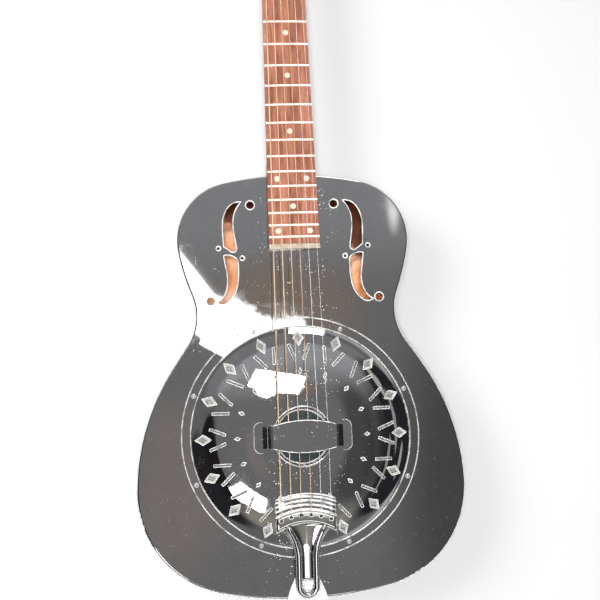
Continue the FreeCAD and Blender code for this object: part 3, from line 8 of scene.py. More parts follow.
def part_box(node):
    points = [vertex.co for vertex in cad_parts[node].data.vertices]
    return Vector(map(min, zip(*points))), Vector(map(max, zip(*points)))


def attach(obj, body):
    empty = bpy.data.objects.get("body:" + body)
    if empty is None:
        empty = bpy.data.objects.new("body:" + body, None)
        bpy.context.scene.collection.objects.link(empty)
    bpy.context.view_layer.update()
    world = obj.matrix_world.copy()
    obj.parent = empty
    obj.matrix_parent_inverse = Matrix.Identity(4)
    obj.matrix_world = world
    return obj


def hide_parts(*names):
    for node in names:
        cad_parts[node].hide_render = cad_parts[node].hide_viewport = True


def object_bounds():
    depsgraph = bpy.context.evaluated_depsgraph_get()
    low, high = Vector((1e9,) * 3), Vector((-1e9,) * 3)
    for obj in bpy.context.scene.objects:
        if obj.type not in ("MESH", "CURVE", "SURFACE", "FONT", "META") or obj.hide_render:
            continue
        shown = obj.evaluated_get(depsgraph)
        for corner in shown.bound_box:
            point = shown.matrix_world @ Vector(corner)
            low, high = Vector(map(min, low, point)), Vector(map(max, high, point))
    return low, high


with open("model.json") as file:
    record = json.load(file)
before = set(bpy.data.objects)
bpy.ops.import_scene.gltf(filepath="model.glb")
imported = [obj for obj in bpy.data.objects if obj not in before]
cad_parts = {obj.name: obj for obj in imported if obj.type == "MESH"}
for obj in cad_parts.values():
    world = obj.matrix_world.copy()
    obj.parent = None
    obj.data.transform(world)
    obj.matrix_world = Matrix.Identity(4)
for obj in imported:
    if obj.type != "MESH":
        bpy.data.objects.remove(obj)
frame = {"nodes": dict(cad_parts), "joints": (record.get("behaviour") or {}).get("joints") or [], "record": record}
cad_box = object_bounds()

# A metal-bodied resonator guitar on its back. Metres, in the frame of the CAD model:
# +Z out of the top, +Y towards the headstock, +X to the treble side.

MM = 0.001
NODES = frame["nodes"]
BODY = "guitar"


# --- Shader helpers ---------------------------------------------------------------------

def set_or_link(tree, value, socket):
    """Gives a socket a number, a colour or another node's output."""
    if isinstance(value, (int, float)):
        socket.default_value = value
    elif isinstance(value, tuple):
        socket.default_value = value + (1,)
    else:
        tree.links.new(value, socket)


def calculate(tree, operation, *values):
    node = tree.nodes.new("ShaderNodeMath")
    node.operation = operation
    for socket, value in zip(node.inputs, values):
        set_or_link(tree, value, socket)
    return node.outputs["Value"]


def colour_ramp(tree, factor, stops):
    """A colour ramp; each stop is (position, colour or grey)."""
    node = tree.nodes.new("ShaderNodeValToRGB")
    elements = node.color_ramp.elements
    while len(elements) < len(stops):
        elements.new(0.5)
    for element, (position, colour) in zip(elements, stops):
        element.position = position
        grey = isinstance(colour, (int, float))
        element.color = ((colour,) * 3 if grey else colour) + (1,)
    tree.links.new(factor, node.inputs["Fac"])
    return node.outputs["Color"]


def mix_colours(tree, factor, first, second, mode="MIX"):
    node = tree.nodes.new("ShaderNodeMix")
    node.data_type = "RGBA"
    node.blend_type = mode
    sockets = {socket.identifier: socket for socket in node.inputs}
    for name, value in (("Factor_Float", factor), ("A_Color", first), ("B_Color", second)):
        set_or_link(tree, value, sockets[name])
    return next(socket for socket in node.outputs if socket.identifier == "Result_Color")


class Shader:
    """A material built round one Principled shader, with short calls for its textures."""

    def __init__(self, name, **values):
        self.material = bpy.data.materials.new(name)
        self.material.use_nodes = True
        self.tree = self.material.node_tree
        self.bsdf = self.tree.nodes["Principled BSDF"]
        for key, value in values.items():
            self.bsdf.inputs[key.replace("_", " ")].default_value = value
        self.place = self.tree.nodes.new("ShaderNodeTexCoord").outputs["Object"]

    def link(self, source, target):
        self.tree.links.new(source, target)

    def feed(self, **sources):
        """Links outputs to the shader's own sockets."""
        for key, source in sources.items():
            self.link(source, self.bsdf.inputs[key.replace("_", " ")])

    def mapped(self, scale, turn=(0, 0, 0)):
        """The place stretched along its axes and turned, in degrees."""
        node = self.tree.nodes.new("ShaderNodeMapping")
        node.inputs["Scale"].default_value = scale
        node.inputs["Rotation"].default_value = [math.radians(angle) for angle in turn]
        self.link(self.place, node.inputs["Vector"])
        return node.outputs["Vector"]

    def axis(self, name):
        """One coordinate of the place, in metres."""
        node = self.tree.nodes.new("ShaderNodeSeparateXYZ")
        self.link(self.place, node.inputs["Vector"])
        return node.outputs[name]

    def noise(self, scale, detail=4.0, roughness=0.55, distortion=0.0, place=None):
        node = self.tree.nodes.new("ShaderNodeTexNoise")
        node.inputs["Scale"].default_value = scale
        node.inputs["Detail"].default_value = detail
        node.inputs["Roughness"].default_value = roughness
        node.inputs["Distortion"].default_value = distortion
        self.link(place or self.place, node.inputs["Vector"])
        return node.outputs["Fac"]

    def cells(self, scale):
        """The distance to the nearest of a scatter of points."""
        node = self.tree.nodes.new("ShaderNodeTexVoronoi")
        node.inputs["Scale"].default_value = scale
        self.link(self.place, node.inputs["Vector"])
        return node.outputs["Distance"]

    def bands(self, scale, direction, distortion=0.0, kind="BANDS"):
        """Even bands across an axis, or rings round it."""
        node = self.tree.nodes.new("ShaderNodeTexWave")
        node.wave_type = kind
        if kind == "BANDS":
            node.bands_direction = direction
        else:
            node.rings_direction = direction
        node.inputs["Scale"].default_value = scale
        node.inputs["Distortion"].default_value = distortion
        self.link(self.place, node.inputs["Vector"])
        return node.outputs["Fac"]

    def ramp(self, factor, *stops):
        return colour_ramp(self.tree, factor, stops)

    def math(self, operation, *values):
        return calculate(self.tree, operation, *values)

    def blend(self, factor, first, second, mode="MIX"):
        return mix_colours(self.tree, factor, first, second, mode)

    def bump(self, height, distance, strength=1.0, base=None):
        node = self.tree.nodes.new("ShaderNodeBump")
        node.inputs["Strength"].default_value = strength
        node.inputs["Distance"].default_value = distance
        self.link(height, node.inputs["Height"])
        if base is not None:
            self.link(base, node.inputs["Normal"])
        return node.outputs["Normal"]


# --- Materials --------------------------------------------------------------------------

# half the width of the strings over the cover, where dust gathers
HALF_STRINGS = 0.028


def chrome(name, colour, wave, wear):
    """Mirror plating with a faint wave, smudges, hair scratches and specks, and dust between
    the strings."""
    shader = Shader(name, Metallic=1.0)
    sheet = shader.noise(9.0, 1.0, 0.4)
    smudge = shader.noise(24.0, 6.0, 0.62, 0.6)
    fine_a = shader.noise(60.0, 3.0, 0.6, place=shader.mapped((1, 16, 1), (0, 0, 34)))
    fine_b = shader.noise(55.0, 3.0, 0.6, place=shader.mapped((16, 1, 1), (0, 0, 21)))
    scratch = shader.math("MAXIMUM", fine_a, fine_b)
    scratch = shader.ramp(scratch, (0.70, 0.0), (0.76, 1.0))
    specks = shader.ramp(shader.cells(150.0), (0.035, 1.0), (0.075, 0.0))
    sparse = shader.ramp(shader.noise(31.0, 2.0), (0.60, 0.0), (0.66, 1.0))
    specks = shader.math("MULTIPLY", specks, sparse)
    film = shader.ramp(smudge, (0.50, 0.025), (0.80, 0.025 + 0.10 * wear))
    rough = shader.math("ADD", film, shader.math("MULTIPLY", scratch, 0.10 * wear))
    rough = shader.math("ADD", rough, shader.math("MULTIPLY", specks, 0.45 * wear))
    dull = tuple(0.90 * channel for channel in colour)
    tint = shader.ramp(smudge, (0.42, colour), (0.78, dull))
    tint = shader.blend(specks, tint, (0.95, 0.95, 0.94))
    near = shader.math("ABSOLUTE", shader.axis("X"))
    near = shader.ramp(near, (HALF_STRINGS, 1.0), (HALF_STRINGS + 0.022, 0.10))
    dust = shader.ramp(shader.cells(300.0), (0.12, 1.0), (0.20, 0.0))
    patchy = shader.ramp(shader.noise(75.0, 3.0), (0.49, 0.0), (0.60, 1.0))
    dust = shader.math("MULTIPLY", dust, patchy)
    dust = shader.math("MULTIPLY", dust, shader.math("MULTIPLY", near, wear))
    tint = shader.blend(dust, tint, (0.74, 0.74, 0.72))
    low = shader.bump(sheet, wave)
    shader.feed(Base_Color=tint, Roughness=rough,
                Metallic=shader.math("SUBTRACT", 1.0, shader.math("MULTIPLY", dust, 0.85)),
                Normal=shader.bump(scratch, 0.000004, 0.5, base=low))
    return shader.material


def highlight_edge_shader(name, metal=0.5):
    """Rolled edges made pale and partly diffuse, a painted highlight that makes them read bright."""
    shader = Shader(name, Metallic=metal, Roughness=0.16)
    # painted highlight: a near-white base, patchy over the edge, stands in for the reflections of the chrome rims
    patchy_highlight = shader.noise(95.0, 3.0, 0.6)
    fine = shader.noise(900.0, 2.0, 0.5)
    shader.feed(Base_Color=shader.ramp(patchy_highlight, (0.36, (0.42, 0.42, 0.40)), (0.52, (0.90, 0.90, 0.88))),
                Normal=shader.bump(fine, 0.000004, 0.5))
    return shader.material


def copper_flash_and_painted_shade(name):
    """The dull, blotched copper colour inside the plated shell, with painted shade that darkens it towards the
    shoulders.
    """
    shader = Shader(name, Metallic=0.1, Specular_IOR_Level=0.2)
    blotch = shader.noise(22.0, 4.0, 0.55, 0.5)
    stain = shader.noise(60.0, 4.0, 0.6)
    colour = shader.ramp(blotch, (0.30, (0.52, 0.17, 0.07)), (0.46, (0.90, 0.42, 0.23)),
                         (0.66, (0.98, 0.60, 0.42)))
    # painted shade: the colour turns nearly black towards the shoulders, with a ragged edge, for the shade inside
    # the shell
    along = shader.math("ADD", shader.axis("Y"), shader.math("MULTIPLY", shader.axis("X"), 0.20))
    ragged = shader.math("MULTIPLY", shader.math("SUBTRACT", blotch, 0.5), 0.20)
    shade = shader.ramp(shader.math("ADD", along, ragged), (0.220, 0.0), (0.242, 0.88), (0.264, 0.97))
    colour = shader.blend(shade, colour, (0.055, 0.009, 0.003))
    stained = shader.ramp(stain, (0.58, 0.0), (0.78, 0.4))
    shader.feed(Base_Color=shader.blend(stained, colour, (0.20, 0.08, 0.04)),
                Roughness=shader.ramp(stain, (0.3, 0.32), (0.8, 0.6)),
                Normal=shader.bump(blotch, 0.0006))
    return shader.material


def spun_metal(name, colour):
    """Metal turned on a lathe: fine rings round the vertical axis."""
    shader = Shader(name, Metallic=0.7)
    rings = shader.bands(900.0, "Z", 0.4, "RINGS")
    cloud = shader.noise(22.0, 4.0, 0.6)
    dull = tuple(0.72 * channel for channel in colour)
    shader.feed(Base_Color=shader.ramp(cloud, (0.3, dull), (0.7, colour)),
                Roughness=shader.ramp(cloud, (0.3, 0.38), (0.7, 0.22)),
                Normal=shader.bump(rings, 0.00002, 0.6))
    return shader.material


def small_metal(name, colour, roughness, metal=0.8):
    """Plated or drawn small parts: uneven shine with fine marks."""
    shader = Shader(name, Metallic=metal)
    cloud = shader.noise(90.0, 4.0, 0.6)
    marks = shader.noise(700.0, 2.0, 0.6, place=shader.mapped((1, 6, 1), (0, 0, 27)))
    dull = tuple(0.78 * channel for channel in colour)
    shader.feed(Base_Color=shader.ramp(cloud, (0.3, dull), (0.65, colour)),
                Roughness=shader.ramp(cloud, (0.3, roughness + 0.12), (0.7, roughness)),
                Normal=shader.bump(marks, 0.000006, 0.5))
    return shader.material


def wound_string(name):
    """Bronze wrap wire: one ridge for each turn, tarnished in places."""
    shader = Shader(name, Metallic=0.40)
    ridge_scale = 1.0 / (2 * math.pi) * 14000.0
    ridges = shader.bands(ridge_scale, "Y")
    tarnish = shader.noise(70.0, 4.0, 0.6, place=shader.mapped((1, 0.25, 1)))
    shader.feed(Base_Color=shader.ramp(tarnish, (0.30, (0.46, 0.31, 0.19)), (0.5, (0.66, 0.48, 0.32)),
                                       (0.7, (0.84, 0.67, 0.48))),
                Roughness=shader.ramp(tarnish, (0.3, 0.42), (0.7, 0.24)),
                Normal=shader.bump(ridges, 0.00008, 0.8))
    return shader.material


def wood(name, dark, mid, light, stretch, ring=26.0, gloss=0.45, pores=0.0, coat=0.0):
    """Timber with long grain, growth bands and open pores."""
    shader = Shader(name, Coat_Weight=coat, Coat_Roughness=0.12)
    grain = shader.noise(ring, 6.0, 0.62, 0.8, place=shader.mapped(stretch))
    fine = shader.noise(ring * 14, 4.0, 0.7, place=shader.mapped(stretch))
    colour = shader.ramp(grain, (0.28, dark), (0.50, mid), (0.74, light))
    streak = shader.ramp(fine, (0.36, 0.55), (0.58, 1.0))
    colour = shader.blend(0.8, colour, streak, "MULTIPLY")
    height = fine
    if pores:
        vessel = shader.noise(ring * 30, 2.0, 0.5, place=shader.mapped(stretch))
        open_pores = shader.ramp(vessel, (0.30, 1.0), (0.37, 0.0))
        colour = shader.blend(shader.math("MULTIPLY", open_pores, pores), colour,
                              tuple(0.35 * channel for channel in dark))
        height = shader.math("SUBTRACT", fine, open_pores)
    shader.feed(Base_Color=colour, Roughness=shader.ramp(grain, (0.3, gloss + 0.12), (0.7, gloss)),
                Normal=shader.bump(height, 0.00006, 0.6))
    return shader.material


def pearl(name):
    """Shell inlay with a pale swirl."""
    shader = Shader(name, Roughness=0.22, Coat_Weight=0.6, Coat_Roughness=0.08)
    swirl = shader.noise(260.0, 3.0, 0.6, 1.6)
    shader.feed(Base_Color=shader.ramp(swirl, (0.30, (0.28, 0.25, 0.19)), (0.46, (0.47, 0.43, 0.34)),
                                       (0.60, (0.35, 0.335, 0.27)), (0.74, (0.60, 0.56, 0.45))))
    return shader.material


def bone(name, light=(0.88, 0.83, 0.70), dark=(0.72, 0.64, 0.48), gloss=0.28):
    """Bone, or plastic that looks like it."""
    shader = Shader(name, Subsurface_Weight=0.08, Subsurface_Scale=0.002)
    cloud = shader.noise(160.0, 4.0, 0.6, 0.5)
    shader.feed(Base_Color=shader.ramp(cloud, (0.25, dark), (0.6, light)),
                Roughness=shader.ramp(cloud, (0.3, gloss + 0.14), (0.7, gloss)))
    return shader.material


def dark_gloss(name, colour, gloss=0.16):
    """A dark lacquered surface with faint long marks."""
    shader = Shader(name, Coat_Weight=0.5, Coat_Roughness=0.06)
    marks = shader.noise(180.0, 5.0, 0.65, place=shader.mapped((1, 5, 1)))
    pale = tuple(1.8 * channel + 0.01 for channel in colour)
    shader.feed(Base_Color=shader.ramp(marks, (0.4, colour), (0.8, pale)),
                Roughness=shader.ramp(marks, (0.3, gloss), (0.8, gloss + 0.18)),
                Normal=shader.bump(marks, 0.00003, 0.4))
    return shader.material


CHROME = chrome("chrome_plating", (0.80, 0.81, 0.82), wave=0.00005, wear=1.0)
CHROME_SMALL = chrome("chrome_small", (0.88, 0.89, 0.90), wave=0.0, wear=0.5)
# painted highlights for the rolled edges, beads and rims
HIGHLIGHT_EDGE = highlight_edge_shader("painted_highlight_edge")
ROLLED_HIGHLIGHT = highlight_edge_shader("rolled_rim_highlight", 0.70)
COPPER_AND_SHADE = copper_flash_and_painted_shade("copper_flash_and_painted_shade")
FACET = small_metal("pressed_facets", (0.56, 0.56, 0.53), 0.20, metal=0.5)
MATERIALS = {
    "chrome_shell": CHROME,
    "well_sheet": COPPER_AND_SHADE,
    "spun_aluminium": spun_metal("spun_aluminium", (0.88, 0.88, 0.86)),
    "dark_maple": dark_gloss("stained_maple", (0.014, 0.020, 0.021), 0.45),
    "maple": wood("bare_maple", (0.42, 0.29, 0.17), (0.66, 0.50, 0.32), (0.78, 0.63, 0.44),
                  (8, 1, 8)),
    "screws": small_metal("screw_plating", (0.82, 0.82, 0.83), 0.14),
    "polished_fittings": small_metal("polished_fittings", (0.92, 0.93, 0.93), 0.10, metal=0.6),
    "mahogany": wood("mahogany", (0.10, 0.032, 0.014), (0.22, 0.078, 0.034), (0.34, 0.14, 0.065),
                     (9, 1, 9), 16.0, 0.30, 0.6, coat=0.35),
    "pale_timber": wood("pale_timber", (0.42, 0.28, 0.16), (0.58, 0.42, 0.26), (0.70, 0.54, 0.36),
                        (9, 1, 9)),
    "rosewood": wood("rosewood", (0.110, 0.034, 0.021), (0.250, 0.094, 0.057), (0.40, 0.176, 0.113),
                     (11, 1, 11), 18.0, 0.42, 0.55),
    "fret_wire": small_metal("fret_wire", (0.93, 0.89, 0.80), 0.2, metal=0.4),
    "pearl": pearl("pearl"),
    "bone": bone("bone"),
    "dark_veneer": dark_gloss("dark_veneer", (0.022, 0.014, 0.012)),
    "rod_steel": small_metal("rod_steel", (0.50, 0.50, 0.50), 0.35),
    "black_plastic": dark_gloss("black_plastic", (0.012, 0.012, 0.012), 0.12),
    "tuner_metal": small_metal("tuner_nickel", (0.76, 0.74, 0.70), 0.22),
    "gear_brass": small_metal("gear_brass", (0.72, 0.55, 0.27), 0.24),
    "tuner_knob": bone("tuner_cream", (0.86, 0.80, 0.62), (0.76, 0.68, 0.48), 0.16),
    "bronze_winding": wound_string("bronze_winding"),
    "plain_steel": small_metal("plain_steel", (0.92, 0.92, 0.90), 0.20, metal=0.4),
}
# the chrome parts whose finish differs from the broad sheets
FINISHES = {
    "hand_rest": CHROME_SMALL,
    "tailpiece_hanger": small_metal("hanger_plating", (0.92, 0.92, 0.90), 0.16, metal=0.55),
}


def paint_nodes():
    """Each CAD node gets its own finish or the material of its slot in the record."""
    for part in frame["record"]["subparts"]:
        mesh = NODES[part["node"]].data
        mesh.materials.clear()
        mesh.materials.append(FINISHES.get(part["node"], MATERIALS[part["material_slot"]]))


# --- Mesh helpers -------------------------------------------------------------------------

class Builder:
    """Gathers the surfaces of one piece, then makes the object."""

    def __init__(self):
        self.points = []
        self.faces = []

    def grid(self, rows, closed_rows=False, closed_columns=False):
        """A sheet through rows of points of equal length."""
        first = len(self.points)
        width = len(rows[0])
        for row in rows:
            self.points.extend(row)
        row_steps = len(rows) if closed_rows else len(rows) - 1
        column_steps = width if closed_columns else width - 1
        for i in range(row_steps):
            for j in range(column_steps):
                a, b = first + i * width, first + (i + 1) % len(rows) * width
                k = (j + 1) % width
                self.faces.append((a + j, a + k, b + k, b + j))

    def slab(self, rows, thickness):
        """A closed sheet of even thickness, below rows of points."""
        drop = Vector((0, 0, -thickness))
        lower = [[point + drop for point in row] for row in rows]
        self.grid(rows)
        self.grid(lower)
        right = [row[-1] for row in rows[1:]]
        left = [row[0] for row in rows[-2:0:-1]]
        rim = rows[0] + right + rows[-1][-2::-1] + left
        self.grid([rim, [point + drop for point in rim]], closed_columns=True)

    def fan(self, row, flip=False):
        """One face over a closed row of points."""
        first = len(self.points)
        self.points.extend(row)
        order = list(range(first, first + len(row)))
        self.faces.append(tuple(reversed(order)) if flip else tuple(order))

    def tube(self, path, radius, closed=False, sides=10):
        """A round bar along a path; the radius is a number or one for each point."""
        radii = [radius] * len(path) if isinstance(radius, (int, float)) else radius
        count = len(path)
        rows = []
        side = None
        for i, point in enumerate(path):
            before = path[(i - 1) % count] if closed or i else path[0]
            after = path[(i + 1) % count] if closed or i < count - 1 else path[-1]
            along = (after - before).normalized()
            if side is None:
                helper = Vector((0, 0, 1)) if abs(along.z) < 0.9 else Vector((1, 0, 0))
                side = along.cross(helper)
            side = (side - along * side.dot(along)).normalized()
            other = along.cross(side)
            rows.append([point + (side * math.cos(a) + other * math.sin(a)) * radii[i]
                         for a in whole_turn(sides)])
        if not closed:
            self.fan(rows[0], flip=True)
            self.fan(rows[-1])
        self.grid(rows, closed_rows=closed, closed_columns=True)

    def make(self, name, material, body=BODY, replaces=(), flat=False):
        """Joins the surfaces into one object with its material and body, and hides the
        nodes that it stands for."""
        mesh = bpy.data.meshes.new(name)
        mesh.from_pydata([tuple(point) for point in self.points], [], self.faces)
        work = bmesh.new()
        work.from_mesh(mesh)
        bmesh.ops.remove_doubles(work, verts=work.verts, dist=0.001 * MM)
        bmesh.ops.recalc_face_normals(work, faces=work.faces)
        work.to_mesh(mesh)
        work.free()
        mesh.polygons.foreach_set("use_smooth", [not flat] * len(mesh.polygons))
        mesh.materials.append(material)
        thing = bpy.data.objects.new(name, mesh)
        bpy.context.scene.collection.objects.link(thing)
        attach(thing, body)
        if replaces:
            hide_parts(*replaces)


def whole_turn(steps):
    """Angles at even steps round a circle."""
    return [2 * math.pi * k / steps for k in range(steps)]


def neighbours(loop):
    """Each point of a closed run with the next one."""
    return list(zip(loop, loop[1:] + loop[:1]))


def signed_area(loop):
    """The area inside a closed run seen from above; positive when it runs anticlockwise."""
    return sum(a.x * b.y - b.x * a.y for a, b in neighbours(loop)) / 2


def sharp_loops(node, wanted, angle=50.0):
    """Closed runs of the sharp edges of a CAD node whose middle and two face normals are
    wanted, as lists of points."""
    work = bmesh.new()
    work.from_mesh(NODES[node].data)
    bmesh.ops.remove_doubles(work, verts=work.verts, dist=0.002 * MM)
    limit = math.radians(angle)
    links = {}
    for edge in work.edges:
        if len(edge.link_faces) != 2 or edge.calc_face_angle(0.0) < limit:
            continue
        a, b = edge.verts
        if wanted((a.co + b.co) / 2, edge.link_faces[0].normal, edge.link_faces[1].normal):
            links.setdefault(a.index, []).append(b.index)
            links.setdefault(b.index, []).append(a.index)
    places = {vert.index: vert.co.copy() for vert in work.verts}
    work.free()
    loops = []
    while links:
        start = min(links)
        loop = [start]
        here = start
        while True:
            onward = [other for other in links[here] if other in links and other not in loop]
            if not onward:
                break
            here = min(onward)
            loop.append(here)
        for index in loop:
            links.pop(index, None)
        if len(loop) > 3:
            loops.append([places[index] for index in loop])
    return loops


def even_loop(loop, step):
    """The same closed run with points at even steps, so that a bead along it is smooth."""
    pairs = neighbours(loop)
    lengths = [(b - a).length for a, b in pairs]
    count = max(8, round(sum(lengths) / step))
    spacing = sum(lengths) / count
    points = []
    travelled = 0.0
    due = 0.0
    for (a, b), length in zip(pairs, lengths):
        while due < travelled + length - 1e-12 and len(points) < count:
            points.append(a.lerp(b, (due - travelled) / length))
            due += spacing
        travelled += length
    return points


def shifted_loop(loop, inward, rise=0.0):
    """A flat closed run moved towards its inside, and up."""
    sign = 1 if signed_area(loop) > 0 else -1
    moved = []
    for i, point in enumerate(loop):
        along = (loop[(i + 1) % len(loop)] - loop[i - 1]).normalized()
        moved.append(point + Vector((-along.y, along.x, 0)) * sign * inward + Vector((0, 0, rise)))
    return moved


def at_level(middle, level):
    return abs(middle.z - level) < 0.05 * MM


def has_wall(first, second, upward):
    """Whether one of two face normals is upright and the other points up."""
    return min(abs(first.z), abs(second.z)) < 0.2 and max(first.z, second.z) > upward


def outline_of(node, level):
    """The outer edge of one of the body's plates at a level."""
    loops = sharp_loops(node, lambda m, a, b: at_level(m, level) and m.xy.length > 100 * MM)
    return max(loops, key=lambda loop: max(point.x for point in loop))


# --- Body shell ---------------------------------------------------------------------------

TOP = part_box("top_plate")[1].z
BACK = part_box("back_plate")[0].z
SHEET = 1.0 * MM


def hole_lips():
    """The turned-down lips of the f-holes and of the small round holes beside them."""
    shortest = 4 * MM
    longest_round = 13 * MM
    well_reach = 130 * MM

    def wanted(middle, first, second):
        return at_level(middle, TOP) and has_wall(first, second, 0.9)

    lips = Builder()
    for loop in sharp_loops("top_plate", wanted):
        reach = max((point - loop[0]).length for point in loop)
        if reach < shortest or min(point.xy.length for point in loop) < well_reach:
            continue
        radius = (1.0 if reach < longest_round else 0.8) * MM
        path = shifted_loop(even_loop(loop, 0.9 * MM), 0.1 * MM, 0.15 * MM - radius)
        lips.tube(path, radius, closed=True, sides=12)
    lips.make("f_hole_lips", HIGHLIGHT_EDGE)


def shell_lining():
    """The copper-coloured inside of the back and sides, seen through the openings."""
    gap = 0.15 * MM
    outline = shifted_loop(even_loop(outline_of("back_plate", BACK + SHEET), 4 * MM), gap)
    low = [Vector((point.x, point.y, BACK + SHEET + gap)) for point in outline]
    high = [Vector((point.x, point.y, TOP - SHEET - gap)) for point in outline]
    lining = Builder()
    lining.fan(low)
    lining.grid([low, high], closed_columns=True)
    lining.make("shell_lining", COPPER_AND_SHADE, flat=True)


def body_seams():
    """The rolled seams where the top and the back meet the sides."""
    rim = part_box("top_plate")[0].z
    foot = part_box("back_plate")[1].z
    seams = Builder()
    for node, level in (("top_plate", rim), ("back_plate", foot)):
        path = shifted_loop(even_loop(outline_of(node, level), 2.5 * MM), 0.33 * MM)
        seams.tube(path, 0.32 * MM, closed=True, sides=8)
    seams.make("body_seams", HIGHLIGHT_EDGE)


# --- Cover --------------------------------------------------------------------------------

COVER_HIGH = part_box("cover_plate")[1]
# a hole whose area is under this share of its girth squared is a slot, not a diamond
SLOT_SHARE = 0.043


def cover_edges():
    """The rolled edges of the cover's diamonds and slots, and the lips pressed down inside them."""
    inner, outer = 60 * MM, 119.5 * MM
    shortest = 3.5 * MM
    tuck = 0.15 * MM
    sheet = 0.3 * MM

    def wanted(middle, first, second):
        return has_wall(first, second, 0.5) and inner < middle.xy.length < outer

    rims = Builder()
    facets = Builder()
    slot_lips = Builder()
    for loop in sharp_loops("cover_plate", wanted, 35.0):
        if max((point - loop[0]).length for point in loop) < shortest:
            continue
        edge = even_loop(loop, 0.8 * MM)
        rims.tube(shifted_loop(edge, 0.1 * MM, -0.1 * MM), 0.38 * MM, closed=True, sides=8)
        area = abs(signed_area(edge))
        girth = sum((a - b).length for a, b in neighbours(edge))
        if area < SLOT_SHARE * girth ** 2:
            lips, inward, slope = slot_lips, 0.65 * MM, 1.8
        else:
            lips, inward, slope = facets, 1.05 * area / girth, 0.8
        drop = slope * inward
        lips.grid([
            shifted_loop(edge, tuck, -tuck),
            shifted_loop(edge, inward, -drop),
            shifted_loop(edge, inward - sheet, -drop - sheet),
            shifted_loop(edge, -sheet, -tuck - sheet),
        ], closed_rows=True, closed_columns=True)
    facets.make("cover_diamond_facets", FACET, flat=True)
    slot_lips.make("cover_slot_lips", CHROME_SMALL, flat=True)
    rims.make("cover_hole_edges", HIGHLIGHT_EDGE)


def ring(builder, radius, level, bead, steps=256):
    """A round bead about the middle of the cover."""
    path = [Vector((radius * math.cos(a), radius * math.sin(a), level)) for a in whole_turn(steps)]
    builder.tube(path, bead, closed=True, sides=12)


def cover_rims():
    """The rolled rim round the flange, the crease at the dome's foot and the lip of the middle
    hole."""
    bead = 0.8 * MM
    dome_foot = 119.6 * MM
    middle_hole = 32.0 * MM
    rims = Builder()
    ring(rims, COVER_HIGH.x - bead, TOP + bead, bead)
    ring(rims, dome_foot, TOP + SHEET, bead)
    ring(rims, middle_hole, COVER_HIGH.z - bead, bead, 128)
    rims.make("cover_rims", ROLLED_HIGHLIGHT)


def cone_crown():
    """The rolled crown of the cone round the bridge's seat."""
    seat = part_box("bridge_biscuit")[1]
    crown = Builder()
    ring(crown, seat.x + 0.1 * MM, seat.z - 0.3 * MM, 0.5 * MM, 128)
    crown.make("cone_crown_bead", HIGHLIGHT_EDGE)


# --- Hand rest ----------------------------------------------------------------------------

def hand_rest_edges():
    """The rounded edges of the hand rest's strap and of its two ears."""
    low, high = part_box("hand_rest")
    edges = Builder()

    # the strap's edges bow outwards, each along a circle
    half_length, end_half, middle_half = 34.0 * MM, 11.5 * MM, 16.6 * MM
    rise = middle_half - end_half
    bow = (half_length ** 2 + rise ** 2) / (2 * rise)
    bead = 0.85 * MM
    steps = 40
    radii = [0.3 * bead] + [bead] * (steps - 1) + [0.3 * bead]
    for side in (1, -1):
        path = []
        for k in range(steps + 1):
            x = half_length * (2 * k / steps - 1)
            y = middle_half - bow + math.sqrt(bow ** 2 - x ** 2) + 0.1 * MM
            path.append(Vector((x, side * y, high.z - bead)))
        edges.tube(path, radii)

    # a wire round the two outer corners of each ear
    ear_inner, ear_half, corner = 43.0 * MM, high.y, 8.0 * MM
    wire = 0.55 * MM
    level = low.z + 1.5 * MM
    bend = corner - wire
    for side in (1, -1):
        path = [Vector((side * ear_inner, -ear_half + wire, level))]
        for centre_y, start in ((-ear_half + corner, -90), (ear_half - corner, 0)):
            for k in range(13):
                a = math.radians(start + 7.5 * k)
                x = high.x - corner + bend * math.cos(a)
                path.append(Vector((side * x, centre_y + bend * math.sin(a), level)))
        path.append(Vector((side * ear_inner, ear_half - wire, level)))
        edges.tube(path, wire)
    edges.make("hand_rest_edges", HIGHLIGHT_EDGE)


# --- Tailpiece ----------------------------------------------------------------------------

# the head is bent round this point of the middle line
TAIL_CENTRE = -150.0 * MM
TAIL_HALF = 33.0 * MM
# the head's section from its front edge to the back of its deck, as (radius, level)
HEAD_SECTION = ((90.0, 96.7), (87.5, 97.3), (84.0, 97.7), (80.0, 98.2), (76.0, 98.7),
                (72.0, 98.8), (69.2, 98.4), (67.6, 97.9), (61.0, 97.6), (57.5, 97.2))
# the raised ribs across the head, as (radius, level, half width)
RIBS = ((89.2, 97.0, 0.65), (86.1, 97.4, 0.95), (82.0, 97.9, 1.15), (77.4, 98.4, 1.15),
        (72.4, 98.7, 1.5))
HINGE = Vector((0, -161.0, 88.0)) * MM
STEM_RISE = 0.1397
# the stem's two ridges run side by side from the hinge, then bend apart up to the head
STEM_HALF = 9.3 * MM
STEM_TUBE = 3.7 * MM
STEM_BEND = 58.0 * MM
STEM_BEND_Y = -130.0 * MM
STEM_TOP_Y = -95.1 * MM
WEB_TOP_Y = -93.0 * MM
# the stem's outer skirt, as (half width, y)
SKIRT = ((26.0, -96.5), (24.0, -99.0), (20.9, -103.5), (17.7, -108.5), (14.9, -115.0),
         (13.2, -122.0), (12.4, -130.0), (12.2, -140.0), (12.3, -152.0), (12.0, -160.0))


def stem_half(y):
    """Half the distance between the two ridges of the stem."""
    if y < STEM_BEND_Y:
        return STEM_HALF
    return STEM_HALF + STEM_BEND - math.sqrt(STEM_BEND ** 2 - (y - STEM_BEND_Y) ** 2)


def stem_level(y):
    return HINGE.z + (y - HINGE.y) * STEM_RISE


def head_arc(radius, x):
    """The y of an arc of the head, both in metres."""
    return TAIL_CENTRE + math.sqrt(radius ** 2 - x * x)


def head_row(radius, level, steps):
    """A row of points over the head, rounded down at its two ends."""
    straight, fall = 0.90, 2.4 * MM
    row = []
    for k in range(steps + 1):
        t = 2 * k / steps - 1
        x = TAIL_HALF * t
        over = max(0.0, (abs(t) - straight) / (1.0 - straight))
        row.append(Vector((x, head_arc(radius * MM, x), level * MM - fall * over ** 2.2)))
    return row


